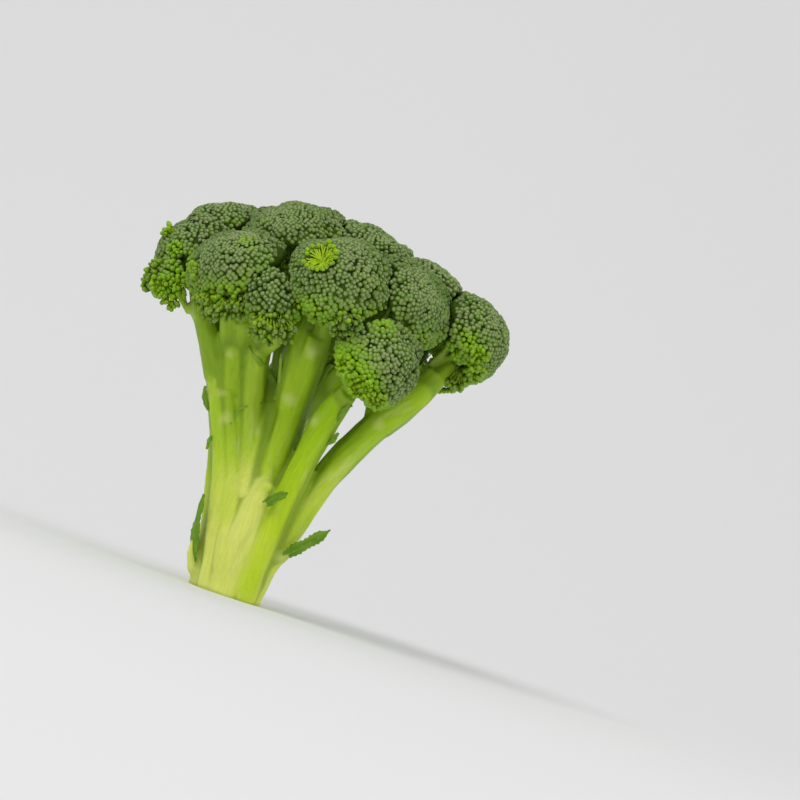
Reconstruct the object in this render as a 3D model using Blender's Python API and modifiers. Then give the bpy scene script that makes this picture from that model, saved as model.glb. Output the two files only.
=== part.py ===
"""A cut head of broccoli, standing on the flat cut of its stalk.

The origin is the middle of the cut, +Z runs up the stalk and the head's showing
side faces -Y. A trunk divides into branches, each branch carries one floret, and
a floret is a domed cap whose whole top is covered in raised bud clusters. Places
and radii below are in millimetres, and MM turns them into metres.
"""

import math

import bmesh
import bpy
import numpy as np
from mathutils import Vector

MM = 0.001

# Driving sizes of the head
CUT_WIDTH = 37.0
FAN_POINT = np.array([0.0, 0.0, 70.0])  # the florets lean away from here
GAP = 0.3  # between neighbouring solids

# The crown is all the lobes melted together over this distance
MELT = 8.5
WALK_STEP, WALK_END = 0.8, 70.0  # a ray looks for the crown's skin in these steps, this far

# Form of one floret, as shares of its lobe's radius
STEM_SHARE = 0.28  # the branch tip that carries it
NECK_SHARE = 1.0  # from the lobe's middle down to the branch tip
RIM_SHARE = 1.12  # from the middle out to the rim
RIM_ANGLE = math.radians(106)  # where the dome turns into the underside
BUD_ANGLE = math.radians(112)  # how far round the clusters go
BUD_DEPTH = 0.12  # the furrows between clusters
CLUSTERS_PER_MM2 = 0.21  # times the lobe's radius squared gives the number of clusters
UNEVENNESS = 0.035
SKIN_SHARE = 0.99  # a point at least this far out on the way to the crown's skin is on it
SEED = 11

# name: (middle of its lobe, the lobe's radius)
FLORETS = {
    "floret_left_top": ((-55, 12, 160), 18.5),
    "floret_left": ((-64, 0, 146), 17.0),
    "floret_left_low": ((-67, -11, 130), 10.0),
    "floret_front_left": ((-39, -33, 140), 20.5),
    "floret_skirt": ((-17, -43, 131.5), 12.5),
    "floret_front": ((7, -43, 148), 23.5),
    "floret_front_right": ((35, -31, 150), 20.0),
    "floret_front_low": ((35, -49, 118.5), 19.0),
    "floret_top_left": ((-19, -4, 166), 22.0),
    "floret_top_right": ((12, 0, 165.5), 21.5),
    "floret_right_top": ((44, -5, 157.5), 18.0),
    "floret_right": ((71, -8, 149), 20.5),
    "floret_right_inner": ((38, 22, 156), 19.0),
    "floret_right_back": ((62, 26, 141), 18.0),
    "floret_top_back": ((-8, 27, 162), 20.5),
    "floret_back_left": ((-44, 40, 143), 21.0),
    "floret_back": ((-8, 48, 147), 22.0),
    "floret_back_right": ((32, 44, 145), 21.0),
    "floret_back_low": ((16, 60, 123), 15.5),
}

# Florets that lean another way than straight out from the fan point
OWN_LEAN = {
    "floret_right": (0.42, -0.02, 0.91),
    "floret_front_right": (0.30, -0.58, 0.76),
    "floret_left_low": (-0.80, -0.15, 0.58),
}

# Thick stems: (place, radius) from the cut upwards
TRUNK = [((0, 0, -4), 17.3), ((0, 0, 8), 17.6), ((1, -1, 28), 18.6), ((-1, 0, 50), 17.6),
         ((-3, 1, 70), 16.2), ((-5, 3, 88), 14.0), ((-6, 5, 104), 11.0), ((-6, 6, 116), 7.0)]
STEMS = {
    "stem_left": [((-8, -3, 14), 10.5), ((-13.5, -6, 41), 9.6), ((-23, -8, 72), 8.0),
                  ((-31, -8, 90), 7.8), ((-35, -9, 101), 7.0)],
    "stem_inner": [((-5, -5, 38), 9.0), ((-12, -7, 66), 7.2), ((-17, -9, 88), 6.8),
                   ((-19.5, -14, 105), 6.4)],
    "stem_middle": [((2, -4, 50), 9.0), ((3.5, -8, 78), 8.6), ((3, -12, 97), 8.3)],
    "stem_low": [((8, -7, 10), 10.0), ((11, -10, 32), 8.6), ((15, -14, 58), 7.2),
                 ((18.5, -20, 84), 7.0)],
    "stem_right": [((9, -4, 16), 10.0), ((19, -5, 38), 7.3), ((25.5, -6, 60), 7.2),
                   ((34, -7, 81), 7.8), ((46, -8, 103), 7.4)],
    "stem_back": [((-2, 6, 40), 11.0), ((-3, 14, 66), 10.0), ((-4, 22, 92), 8.0)],
    "leaf_base": [((-2, -8, 6), 9.6), ((-2, -11.5, 28), 9.6), ((3, -14, 46), 7.0),
                  ((5.5, -17, 56), 3.0)],
}

# floret: where its branch leaves the stem, and the points it passes
BRANCHES = {
    "floret_left_top": [(-34, -6, 96), (-42, 4, 118)],
    "floret_left": [(-33, -8, 94), (-43, -5, 114)],
    "floret_left_low": [(-40, -7, 106), (-49, -7, 115)],
    "floret_front_left": [(-30, -8, 90), (-30, -16, 106)],
    "floret_skirt": [(-19, -12, 99), (-18.5, -24, 112)],
    "floret_front": [(3, -10, 92), (4, -20, 112)],
    "floret_front_right": [(6, -8, 92), (17, -10, 116)],
    "floret_front_low": [(18, -19, 80), (21.5, -26, 96)],
    "floret_top_left": [(-4, 2, 92), (-9, 0, 120)],
    "floret_top_right": [(-1, 2, 92), (4, 0, 120)],
    "floret_right_top": [(42, -8, 98), (38, -7, 120)],
    "floret_right": [(42, -8, 97), (53, -8, 115)],
    "floret_right_inner": [(2, 6, 88), (17, 10, 116)],
    "floret_right_back": [(40, -6, 94), (46, 8, 112)],
    "floret_top_back": [(-4, 14, 90), (-5, 17, 118)],
    "floret_back_left": [(-8, 12, 78), (-22, 22, 104)],
    "floret_back": [(-4, 20, 86), (-5, 29, 110)],
    "floret_back_right": [(2, 14, 80), (14, 25, 106)],
    "floret_back_low": [(0, 18, 74), (6, 34, 95)],
}
BRANCH_ROOT_SHARE = 0.34  # of its lobe's radius, where a branch leaves its stem
STRAIGHT_TIP = 5.0  # the last stretch points straight at the floret
POINT_STEP = 13.0  # between the rings of a stem
TRUNK_RING, STEM_RING, BRANCH_RING = 5, 3, 2  # bevel resolutions: 14, 10 and 8 sides

# Small leaves: (place of the middle rib, half width), with the side that it is spread to
LEAF_THICKNESS = 0.9
LEAVES = {
    "leaf_left": ([((-17.0, -7.5, 7), 2.2), ((-20.0, -10.2, 15), 3.4), ((-22.0, -13.4, 24), 3.6),
                   ((-22.6, -16.0, 33), 2.6), ((-22.8, -18.2, 41), 0.9)], (0.55, -0.80, 0.15), 0.7),
    "leaf_right": ([((20.9, -11.0, 25), 1.6), ((25.2, -14.2, 30), 3.4), ((30.0, -16.6, 35), 4.2),
                    ((34.2, -18.4, 39.5), 3.2), ((38.0, -20.0, 44.5), 0.9)],
                   (-0.55, -0.60, 0.60), 0.9),
    "leaf_front": ([((6.2, -21.3, 46), 1.7), ((8.4, -24.2, 49), 2.5), ((11.4, -26.4, 52), 2.4),
                    ((14.2, -27.0, 54), 1.2)], (-0.35, -0.35, 0.87), 0.8),
}

COLOURS = {
    "stalk": (0.45, 0.52, 0.12),
    "floret": (0.10, 0.16, 0.045),
    "leaf": (0.14, 0.26, 0.03),
}


def clear_scene():
    for thing in list(bpy.data.objects):
        bpy.data.objects.remove(thing, do_unlink=True)


def material(name, colour, roughness):
    made = bpy.data.materials.new(name)
    made.use_nodes = True
    shader = made.node_tree.nodes["Principled BSDF"]
    shader.inputs["Base Color"].default_value = (*colour, 1.0)
    shader.inputs["Roughness"].default_value = roughness
    shader.inputs["Metallic"].default_value = 0.0
    return made


def new_collection(name):
    made = bpy.data.collections.new(name)
    bpy.context.scene.collection.children.link(made)
    return made


def unit(vector):
    vector = np.asarray(vector, float)
    return vector / np.linalg.norm(vector)


def smooth_route(places, step):
    """Points along a Catmull-Rom curve through the places, about step apart.

    The last column of a place is its radius, carried along the same way.
    """
    rows = np.array(places, float)
    ends = np.vstack([2 * rows[0] - rows[1], rows, 2 * rows[-1] - rows[-2]])
    made = []
    for i in range(1, len(ends) - 2):
        a, b, c, d = ends[i - 1 : i + 3]
        count = max(1, round(np.linalg.norm((c - b)[:3]) / step))
        for k in range(count):
            t = k / count
            made.append(0.5 * (2 * b + (c - a) * t + (2 * a - 5 * b + 4 * c - d) * t**2
                               + (3 * b - a - 3 * c + d) * t**3))
    made.append(rows[-1])
    return made


def tube(name, rows, ring, home):
    """A closed mesh along the rows (x, y, z, radius), made from a bevelled curve."""
    curve = bpy.data.curves.new(name, "CURVE")
    curve.dimensions = "3D"
    curve.bevel_depth = MM
    curve.bevel_resolution = ring
    curve.use_fill_caps = True
    spline = curve.splines.new("POLY")
    spline.points.add(len(rows) - 1)
    for point, row in zip(spline.points, rows):
        point.co = (*(row[:3] * MM), 1.0)
        point.radius = row[3]
    guide = bpy.data.objects.new(name + "_guide", curve)
    home.objects.link(guide)
    bpy.context.view_layer.update()
    graph = bpy.context.evaluated_depsgraph_get()
    mesh = bpy.data.meshes.new_from_object(guide.evaluated_get(graph))
    bpy.data.objects.remove(guide, do_unlink=True)
    cage = bmesh.new()
    cage.from_mesh(mesh)
    bmesh.ops.remove_doubles(cage, verts=cage.verts, dist=0.02 * MM)
    bmesh.ops.recalc_face_normals(cage, faces=cage.faces)
    cage.to_mesh(mesh)
    cage.free()
    made = bpy.data.objects.new(name, mesh)
    home.objects.link(made)
    return made


def form_of(name):
    """(middle, radius, lean) of a floret's lobe."""
    place, radius = FLORETS[name]
    place = np.array(place, float)
    return place, radius, unit(OWN_LEAN.get(name, place - FAN_POINT))


def branch_rows(name):
    """The branch of one floret, from inside its stem to just below the floret."""
    middle, radius, lean = form_of(name)
    tip = middle - lean * (NECK_SHARE * radius + GAP)
    thin, thick = STEM_SHARE * radius, BRANCH_ROOT_SHARE * radius
    inner = [np.array(place, float) for place in BRANCHES[name]]
    places = [(*inner[0], thick), (*inner[1], (thin + thick) / 2), (*(tip - lean * STRAIGHT_TIP), thin)]
    return smooth_route(places, POINT_STEP) + [np.array([*tip, thin])]


def make_stalk(home):
    """The trunk, its stems and every branch, joined into one body and cut off flat."""
    pieces = new_collection("stem pieces")
    rows = smooth_route([(*place, radius) for place, radius in TRUNK], POINT_STEP)
    trunk = tube("trunk", rows, TRUNK_RING, home)
    for name, stem in STEMS.items():
        rows = smooth_route([(*place, radius) for place, radius in stem], POINT_STEP)
        tube(name, rows, STEM_RING, pieces)
    for name in BRANCHES:
        tube("branch_of_" + name, branch_rows(name), BRANCH_RING, pieces)

    cutter_size = 4 * CUT_WIDTH * MM
    bpy.ops.mesh.primitive_cube_add(size=cutter_size, location=(0, 0, -cutter_size / 2))
    cutter = bpy.context.object
    cutter.name = "cut_below"
    cutter.hide_render = True
    cutter.display_type = "WIRE"

    joined = trunk.modifiers.new("joined", "BOOLEAN")
    joined.operation = "UNION"
    joined.operand_type = "COLLECTION"
    joined.collection = pieces
    flat = trunk.modifiers.new("flat cut", "BOOLEAN")
    flat.operation = "DIFFERENCE"
    flat.object = cutter
    bpy.context.view_layer.update()
    graph = bpy.context.evaluated_depsgraph_get()
    mesh = bpy.data.meshes.new_from_object(trunk.evaluated_get(graph))
    for thing in [trunk, cutter, *pieces.objects]:
        bpy.data.objects.remove(thing, do_unlink=True)
    bpy.data.collections.remove(pieces)
    mesh.shade_smooth()
    mesh.set_sharp_from_angle(angle=math.radians(40))
    stalk = bpy.data.objects.new("stalk", mesh)
    home.objects.link(stalk)
    return stalk


def above_crown(points):
    """How far points lie outside the crown, whose lobes are melted together."""
    places = np.array([place for place, _ in FLORETS.values()], float)
    radii = np.array([radius for _, radius in FLORETS.values()])
    off = np.linalg.norm(points[..., None, :] - places, axis=-1) - radii
    return -MELT * np.log(np.exp(-off / MELT).sum(axis=-1))


def to_crown(middle, rays):
    """Distance along each ray from a lobe's middle to the first skin of the crown."""
    walk = np.arange(0.0, WALK_END, WALK_STEP)
    height = above_crown(middle + rays[:, None, :] * walk[:, None])
    first = np.maximum(1, (height > 0).argmax(axis=1))
    row = np.arange(len(rays))
    below, above = height[row, first - 1], height[row, first]
    met = walk[first] - WALK_STEP * above / (above - below)
    return np.where((height > 0).any(axis=1), met, WALK_END)


def reach(name, rays):
    """How far a floret goes from its middle along unit rays: to the crown's skin, its
    tapering underside, the flat where its branch ends, or half the gap from a neighbour."""
    middle, radius, lean = form_of(name)
    along = rays @ lean
    across = np.sqrt(np.maximum(0.0, 1.0 - along**2))
    far = to_crown(middle, rays)

    rim = RIM_SHARE * radius * np.array([math.sin(RIM_ANGLE), math.cos(RIM_ANGLE)])
    neck = radius * np.array([STEM_SHARE + 0.03, -NECK_SHARE])
    edge = neck - rim
    slope = across * edge[1] - along * edge[0]
    cone = (rim[0] * edge[1] - rim[1] * edge[0]) / np.where(slope < 0, slope, np.inf)
    far = np.where(slope < 0, np.minimum(far, np.abs(cone)), far)
    down = along < 0
    far = np.where(down, np.minimum(far, NECK_SHARE * radius / np.where(down, -along, 1.0)), far)

    for other in FLORETS:
        if other == name:
            continue
        place, wide, _ = form_of(other)
        apart = place - middle
        distance = np.linalg.norm(apart)
        wall = (distance**2 + radius**2 - wide**2) / (2 * distance) - GAP
        facing = rays @ (apart / distance)
        far = np.where(facing > 0, np.minimum(far, wall / np.where(facing > 0, facing, 1.0)), far)
    return far


def floret_rays(lean, count):
    """Rays spread evenly over the dome in a sunflower spiral, and rings for the underside."""
    side = unit(np.cross(lean, (0.3, 1.0, 0.2)))
    front = np.cross(lean, side)
    turn = math.pi * (3 - math.sqrt(5))
    polar = [(math.acos(1 - (k + 0.5) / count * (1 - math.cos(BUD_ANGLE))), k * turn)
             for k in range(count)]
    for angle in (math.radians(142), math.pi - math.atan(STEM_SHARE / NECK_SHARE)):
        polar += [(angle, k * math.tau / 8) for k in range(8)]
    polar.append((math.pi, 0.0))
    return np.array([math.cos(a) * lean + math.sin(a) * (math.cos(b) * side + math.sin(b) * front)
                     for a, b in polar])


def make_floret(name, home, draw):
    """A domed cap covered in clusters: each ray on the dome is the top of one cluster."""
    middle, radius, lean = form_of(name)
    count = round(CLUSTERS_PER_MM2 * radius**2)
    cage = bmesh.new()
    for ray in floret_rays(lean, count):
        cage.verts.new(ray)
    bmesh.ops.convex_hull(cage, input=cage.verts)
    bmesh.ops.recalc_face_normals(cage, faces=cage.faces)
    tops = set(cage.verts)
    ridges = list(cage.edges)
    bmesh.ops.poke(cage, faces=cage.faces[:])
    furrows = [v for v in cage.verts if v not in tops]
    deep = {v: all(e.other_vert(v).co.dot(Vector(lean)) > math.cos(BUD_ANGLE) - 0.01
                   for e in v.link_edges) for v in furrows}
    bmesh.ops.rotate_edges(cage, edges=ridges)

    rays = np.array([unit(vert.co) for vert in cage.verts])
    distances = reach(name, rays)
    on_skin = distances > SKIN_SHARE * to_crown(middle, rays)
    for vert, ray, far, outside in zip(cage.verts, rays, distances, on_skin):
        if deep.get(vert) and outside:
            far *= 1 - BUD_DEPTH
        elif vert in tops and outside and ray @ lean > math.cos(BUD_ANGLE) - 0.01:
            far *= 1 - UNEVENNESS * draw.random()
        vert.co = Vector(ray * far * MM)
    bmesh.ops.recalc_face_normals(cage, faces=cage.faces)
    mesh = bpy.data.meshes.new(name)
    cage.to_mesh(mesh)
    cage.free()
    mesh.shade_smooth()
    floret = bpy.data.objects.new(name, mesh)
    floret.location = Vector(middle) * MM
    home.objects.link(floret)
    return floret


def make_leaf(name, home):
    """A narrow blade with a toothed edge: a strip along its rib, thickened."""
    ribs, spread, bend = LEAVES[name]
    rows = smooth_route([(*place, half) for place, half in ribs], 0.5 * POINT_STEP)
    rows = [np.array(row) for row in rows]
    spread = unit(spread)
    cage = bmesh.new()
    lines = []
    for i, row in enumerate(rows):
        ahead = unit(rows[min(i + 1, len(rows) - 1)][:3] - rows[max(i - 1, 0)][:3])
        side = unit(spread - ahead * (spread @ ahead))
        lift = np.cross(ahead, side) * bend
        tooth = 1.0 if i % 2 else 0.82
        half = row[3] * tooth
        lines.append([cage.verts.new(Vector(row[:3] + side * half * s + lift * abs(s)) * MM)
                      for s in (-1.0, 0.0, 1.0)])
    for low, high in zip(lines, lines[1:]):
        for k in range(2):
            cage.faces.new((low[k], low[k + 1], high[k + 1]))
            cage.faces.new((low[k], high[k + 1], high[k]))
    mesh = bpy.data.meshes.new(name)
    cage.to_mesh(mesh)
    cage.free()
    leaf = bpy.data.objects.new(name, mesh)
    home.objects.link(leaf)
    shell = leaf.modifiers.new("thickness", "SOLIDIFY")
    shell.thickness = LEAF_THICKNESS * MM
    shell.offset = 0.0
    return leaf


def main():
    clear_scene()
    home = new_collection("broccoli head")
    stalk = make_stalk(home)
    stalk.data.materials.clear()
    stalk.data.materials.append(material("stalk", COLOURS["stalk"], 0.45))
    buds = material("buds", COLOURS["floret"], 0.75)
    draw = np.random.default_rng(SEED)
    for name in FLORETS:
        make_floret(name, home, draw).data.materials.append(buds)
    blade = material("leaf", COLOURS["leaf"], 0.5)
    for name in LEAVES:
        make_leaf(name, home).data.materials.append(blade)


main()
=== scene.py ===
# %% [markdown]
# A head of broccoli stands on the flat cut of its stalk. The solid model gives every
# piece its place and size. This lesson dresses it: hundreds of flower buds over each
# floret, a ribbed stalk with soft forks, and a few small leaves.

# %% Load the solid model
import math

import bmesh
import bpy
import numpy as np
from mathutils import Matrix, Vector, noise
from mathutils.bvhtree import BVHTree


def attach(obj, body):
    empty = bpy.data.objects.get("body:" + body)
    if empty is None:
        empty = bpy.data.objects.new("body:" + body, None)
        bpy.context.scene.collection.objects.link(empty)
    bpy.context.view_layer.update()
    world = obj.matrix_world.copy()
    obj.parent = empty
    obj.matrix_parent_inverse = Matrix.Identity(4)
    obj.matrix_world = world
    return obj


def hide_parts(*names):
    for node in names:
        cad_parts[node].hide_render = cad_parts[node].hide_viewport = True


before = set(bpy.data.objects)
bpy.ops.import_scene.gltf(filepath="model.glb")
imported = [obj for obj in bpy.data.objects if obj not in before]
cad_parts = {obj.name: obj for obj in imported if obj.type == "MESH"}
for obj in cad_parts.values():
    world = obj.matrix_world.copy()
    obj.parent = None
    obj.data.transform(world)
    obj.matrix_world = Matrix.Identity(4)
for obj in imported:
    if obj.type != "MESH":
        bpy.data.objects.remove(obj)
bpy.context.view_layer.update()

MM = 0.001

# %% [markdown]
# The head leans in the picture, so the camera is rolled instead: the real head would
# stand straight on its cut. The camera sits low and looks up a little, because the
# undersides of the florets show. Its place follows from where the cut's middle falls
# in the picture and from how many millimetres one pixel covers there.

# %% Camera
PICTURE_WIDTH = 800
FOOT_PIXEL = (223.0, 594.0)
MM_PER_PIXEL = 0.47
LENS, SENSOR = 85.0, 36.0
LOOK_UP = math.radians(5.0)
ROLL = math.radians(18.7)


def camera_axes():
    """Right, up and forward of the camera, as unit vectors."""
    forward = Vector((0, math.cos(LOOK_UP), math.sin(LOOK_UP)))
    level_up = Vector((0, -math.sin(LOOK_UP), math.cos(LOOK_UP)))
    level_right = Vector((1, 0, 0))
    right = math.cos(ROLL) * level_right + math.sin(ROLL) * level_up
    return right, right.cross(forward), forward


def make_camera():
    right, up, forward = camera_axes()
    away = MM_PER_PIXEL * LENS / SENSOR * PICTURE_WIDTH
    aside = (FOOT_PIXEL[0] - PICTURE_WIDTH / 2) * MM_PER_PIXEL
    above = (PICTURE_WIDTH / 2 - FOOT_PIXEL[1]) * MM_PER_PIXEL
    data = bpy.data.cameras.new("camera")
    data.lens, data.sensor_width = LENS, SENSOR
    camera = bpy.data.objects.new("camera", data)
    camera.location = -(away * forward + aside * right + above * up) * MM
    turn = camera.matrix_world.to_3x3()
    for axis, direction in enumerate((right, up, -forward)):
        for row in range(3):
            turn[row][axis] = direction[row]
    camera.rotation_euler = turn.to_euler()
    bpy.context.scene.collection.objects.link(camera)
    bpy.context.scene.camera = camera
    return camera


def pixel_ray(x, y):
    """Where a pixel's line of sight starts, and the way that it goes."""
    right, up, forward = camera_axes()
    step = SENSOR / LENS / PICTURE_WIDTH
    way = forward + (x - PICTURE_WIDTH / 2) * step * right + (PICTURE_WIDTH / 2 - y) * step * up
    return camera.location.copy(), way.normalized()


camera = make_camera()
print("camera, m:", tuple(round(v, 3) for v in camera.location))

# %% [markdown]
# A photo studio has a sheet of pale paper that runs along the table and curves up
# behind, so that no edge shows in the picture. One profile swept sideways makes it.

# %% Paper sweep
PAPER_FRONT, PAPER_BEND, PAPER_BACK = -3.0, 0.30, 2.6
PAPER_HALF_WIDTH, PAPER_TOP = 5.0, 4.5
PAPER_GREY, PAPER_ROUGHNESS, PAPER_SHINE = 0.80, 0.9, 0.1
BEND_STEPS = 24


def make_paper():
    bend = PAPER_BACK - PAPER_BEND
    profile = [(PAPER_FRONT, 0.0)]
    for k in range(BEND_STEPS + 1):
        angle = k / BEND_STEPS * math.pi / 2
        profile.append((PAPER_BEND + bend * math.sin(angle), bend * (1 - math.cos(angle))))
    profile.append((PAPER_BACK, PAPER_TOP))
    cage = bmesh.new()
    rows = [[cage.verts.new((x, y, z)) for x in (-PAPER_HALF_WIDTH, PAPER_HALF_WIDTH)]
            for y, z in profile]
    for low, high in zip(rows, rows[1:]):
        cage.faces.new((low[0], low[1], high[1], high[0]))
    mesh = bpy.data.meshes.new("paper")
    cage.to_mesh(mesh)
    cage.free()
    mesh.shade_smooth()
    sheet = bpy.data.materials.new("paper")
    sheet.use_nodes = True
    shader = sheet.node_tree.nodes["Principled BSDF"]
    shader.inputs["Base Color"].default_value = (PAPER_GREY, PAPER_GREY, PAPER_GREY, 1)
    shader.inputs["Roughness"].default_value = PAPER_ROUGHNESS
    shader.inputs["Specular IOR Level"].default_value = PAPER_SHINE
    mesh.materials.append(sheet)
    paper = bpy.data.objects.new("paper", mesh)
    bpy.context.scene.collection.objects.link(paper)
    return paper


paper = make_paper()
print("paper, m:", tuple(round(v, 2) for v in paper.dimensions))

# %% [markdown]
# Soft light comes from a big window-like lamp above and in front. A weaker one fills
# from the other side, a faint one stands above and behind, and a pale world lifts the
# shadows. Wide lamps could be replaced by an image of a room, but these stay plain.

# %% Lights
WORLD_GREY, WORLD_STRENGTH = 0.80, 0.80
# Where each lamp is, where it points, its size and its power
LIGHTS = {
    "key": ((-1.5, -1.7, 2.6), (0.0, 0.0, 0.1), 1.9, 38.0),
    "fill": ((2.4, -2.0, 1.6), (0.0, 0.0, 0.1), 2.2, 21.0),
    "top": ((0.3, 0.9, 2.9), (0.0, 0.0, 0.1), 1.8, 1.5),
}


def make_lights():
    for name, (place, aim, size, power) in LIGHTS.items():
        data = bpy.data.lights.new(name, "AREA")
        data.shape = "DISK"
        data.size, data.energy = size, power
        light = bpy.data.objects.new(name, data)
        light.location = place
        light.rotation_euler = (Vector(aim) - light.location).to_track_quat("-Z", "Y").to_euler()
        bpy.context.scene.collection.objects.link(light)
    world = bpy.data.worlds.new("room")
    world.use_nodes = True
    background = world.node_tree.nodes["Background"]
    background.inputs["Color"].default_value = (WORLD_GREY, WORLD_GREY, WORLD_GREY, 1)
    background.inputs["Strength"].default_value = WORLD_STRENGTH
    bpy.context.scene.world = world
    bpy.context.scene.view_settings.view_transform = "Standard"


make_lights()
print("lamps:", ", ".join(LIGHTS))

# %% [markdown]
# Every finish here is a Principled shader with a few nodes in front of it. These small
# helpers add a node, join sockets and read a number stored on the mesh.

# %% Helpers for materials


def srgb(red, green, blue):
    """A colour as a picker shows it, 0 to 255, turned into the linear light of a shader."""
    made = []
    for value in (red, green, blue):
        share = value / 255
        made.append(share / 12.92 if share <= 0.04045 else ((share + 0.055) / 1.055) ** 2.4)
    return (*made, 1.0)


class Finish:
    """A material under construction."""

    def __init__(self, name, roughness, specular=0.5):
        self.material = bpy.data.materials.new(name)
        self.material.use_nodes = True
        self.tree = self.material.node_tree
        self.shader = self.tree.nodes["Principled BSDF"]
        self.shader.inputs["Roughness"].default_value = roughness
        self.shader.inputs["Specular IOR Level"].default_value = specular

    def node(self, kind, **values):
        made = self.tree.nodes.new("ShaderNode" + kind)
        for key, value in values.items():
            setattr(made, key, value)
        return made

    def put(self, value, socket):
        """A socket is joined, and anything else is set on the socket."""
        if isinstance(value, bpy.types.NodeSocket):
            self.tree.links.new(value, socket)
        else:
            socket.default_value = value

    def stored(self, name, what="Fac"):
        return self.node("Attribute", attribute_name=name).outputs[what]

    def ramp(self, value, stops):
        made = self.node("ValToRGB")
        band = made.color_ramp
        while len(band.elements) < len(stops):
            band.elements.new(0.5)
        for element, (place, colour) in zip(band.elements, stops):
            element.position = place
            element.color = colour
        self.put(value, made.inputs["Fac"])
        return made.outputs["Color"]

    def mix(self, amount, a, b, blend="MIX"):
        made = self.node("Mix", data_type="RGBA", blend_type=blend)
        self.put(amount, made.inputs["Factor"])
        self.put(a, made.inputs[6])
        self.put(b, made.inputs[7])
        return made.outputs[2]

    def noise(self, place, scale, detail=2.0):
        made = self.node("TexNoise")
        made.inputs["Scale"].default_value = scale
        made.inputs["Detail"].default_value = detail
        self.put(place, made.inputs["Vector"])
        return made.outputs["Fac"]

    def bump(self, height, distance, strength=1.0):
        made = self.node("Bump")
        made.inputs["Distance"].default_value = distance
        made.inputs["Strength"].default_value = strength
        self.put(height, made.inputs["Height"])
        self.put(made.outputs["Normal"], self.shader.inputs["Normal"])

    def soften(self, weight, radius, scale):
        self.shader.inputs["Subsurface Weight"].default_value = weight
        self.shader.inputs["Subsurface Radius"].default_value = radius
        self.shader.inputs["Subsurface Scale"].default_value = scale


def grey(value):
    return (value, value, value, 1.0)


print("a mid grey, 188 of 255, as light:", round(srgb(188, 188, 188)[0], 2))

# %% [markdown]
# Buds are grey-green where the light and a waxy bloom reach them, brighter green on
# their flanks and dark between them, where painted shade darkens each bud towards its
# base. A pale spot on each tip is partly waxy bloom and partly a painted highlight.
# Young buds, and the small stalks that carry them, are yellow-green. Each bud stores
# its own tone, youth and how far up its skin is.

# %% Bud finish


def bud_finish():
    made = Finish("buds", roughness=0.45, specular=0.28)
    rise, youth = made.stored("rise"), made.stored("youth")
    ripe = made.ramp(made.stored("tone"), [
        (0.0, srgb(66, 96, 26)), (0.35, srgb(84, 112, 42)), (0.7, srgb(98, 120, 58)),
        (1.0, srgb(114, 118, 74))])
    cap = made.mix(youth, ripe, srgb(134, 182, 14))
    flank = made.mix(youth, srgb(74, 108, 8), srgb(178, 216, 8))
    body = made.mix(made.ramp(rise, [(0.5, grey(0.0)), (0.85, grey(1.0))]), flank, cap)
    # Painted shade: each bud darkens towards its base, where its neighbours shade it.
    painted_base_shade = made.ramp(rise, [(0.0, grey(0.16)), (0.45, grey(0.65)), (0.7, grey(1.0))])
    shaded = made.mix(1.0, body, painted_base_shade, "MULTIPLY")
    # A pale spot on each tip: partly waxy bloom, partly a painted highlight. Young buds get less of it.
    bloom_and_highlight = made.ramp(rise, [(0.92, grey(0.0)), (0.985, grey(0.6)), (1.0, grey(0.4))])
    ripeness = made.ramp(youth, [(0.2, grey(1.0)), (0.8, grey(0.2))])
    waxy_and_highlight = made.mix(1.0, bloom_and_highlight, ripeness, "MULTIPLY")
    made.put(made.mix(waxy_and_highlight, shaded, srgb(164, 178, 122)), made.shader.inputs["Base Color"])
    where = made.node("TexCoord").outputs["Object"]
    made.bump(made.noise(where, 2600.0), 0.12 * MM, 0.5)
    return made.material


def core_and_shade_finish():
    """The dense mass under the buds: painted nearly black green on top as the shade between the buds, leafy
    green low down.
    """
    made = Finish("bud gaps, painted shade", roughness=0.8, specular=0.1)
    where = made.node("TexCoord").outputs["Object"]
    # Painted shade: near black on top, where the buds shade the mass. Leafy green low down, where the small
    # stalks show.
    low = made.ramp(made.stored("youth"), [(0.0, srgb(36, 54, 14)), (0.6, srgb(84, 116, 18)),
                                           (1.0, srgb(124, 158, 20))])
    mottle = made.ramp(made.noise(where, 900.0), [(0.3, grey(0.45)), (0.7, grey(1.0))])
    made.put(made.mix(1.0, low, mottle, "MULTIPLY"), made.shader.inputs["Base Color"])
    return made.material


bud_material, core_and_shade_material = bud_finish(), core_and_shade_finish()
print("finishes:", bud_material.name, "and", core_and_shade_material.name)

# %% [markdown]
# One bud is a small egg. Four sepals close over it, so its upper rings are drawn in a
# little between them and its very top is a dimple. The same egg is stamped many
# thousand times, straight into one mesh for each floret, which keeps the scene light.

# %% One bud
BUD_WIDTH, BUD_LENGTH = 2.75 * MM, 3.2 * MM
BUD_SIDES = 8
# How far up, and how wide, each ring is
BUD_RINGS = [(0.16, 0.72), (0.42, 1.0), (0.70, 0.96), (0.90, 0.70), (0.99, 0.30)]
SEPALS, SEPAL_DEPTH = 4, 0.09
DIMPLE = 0.975


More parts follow.
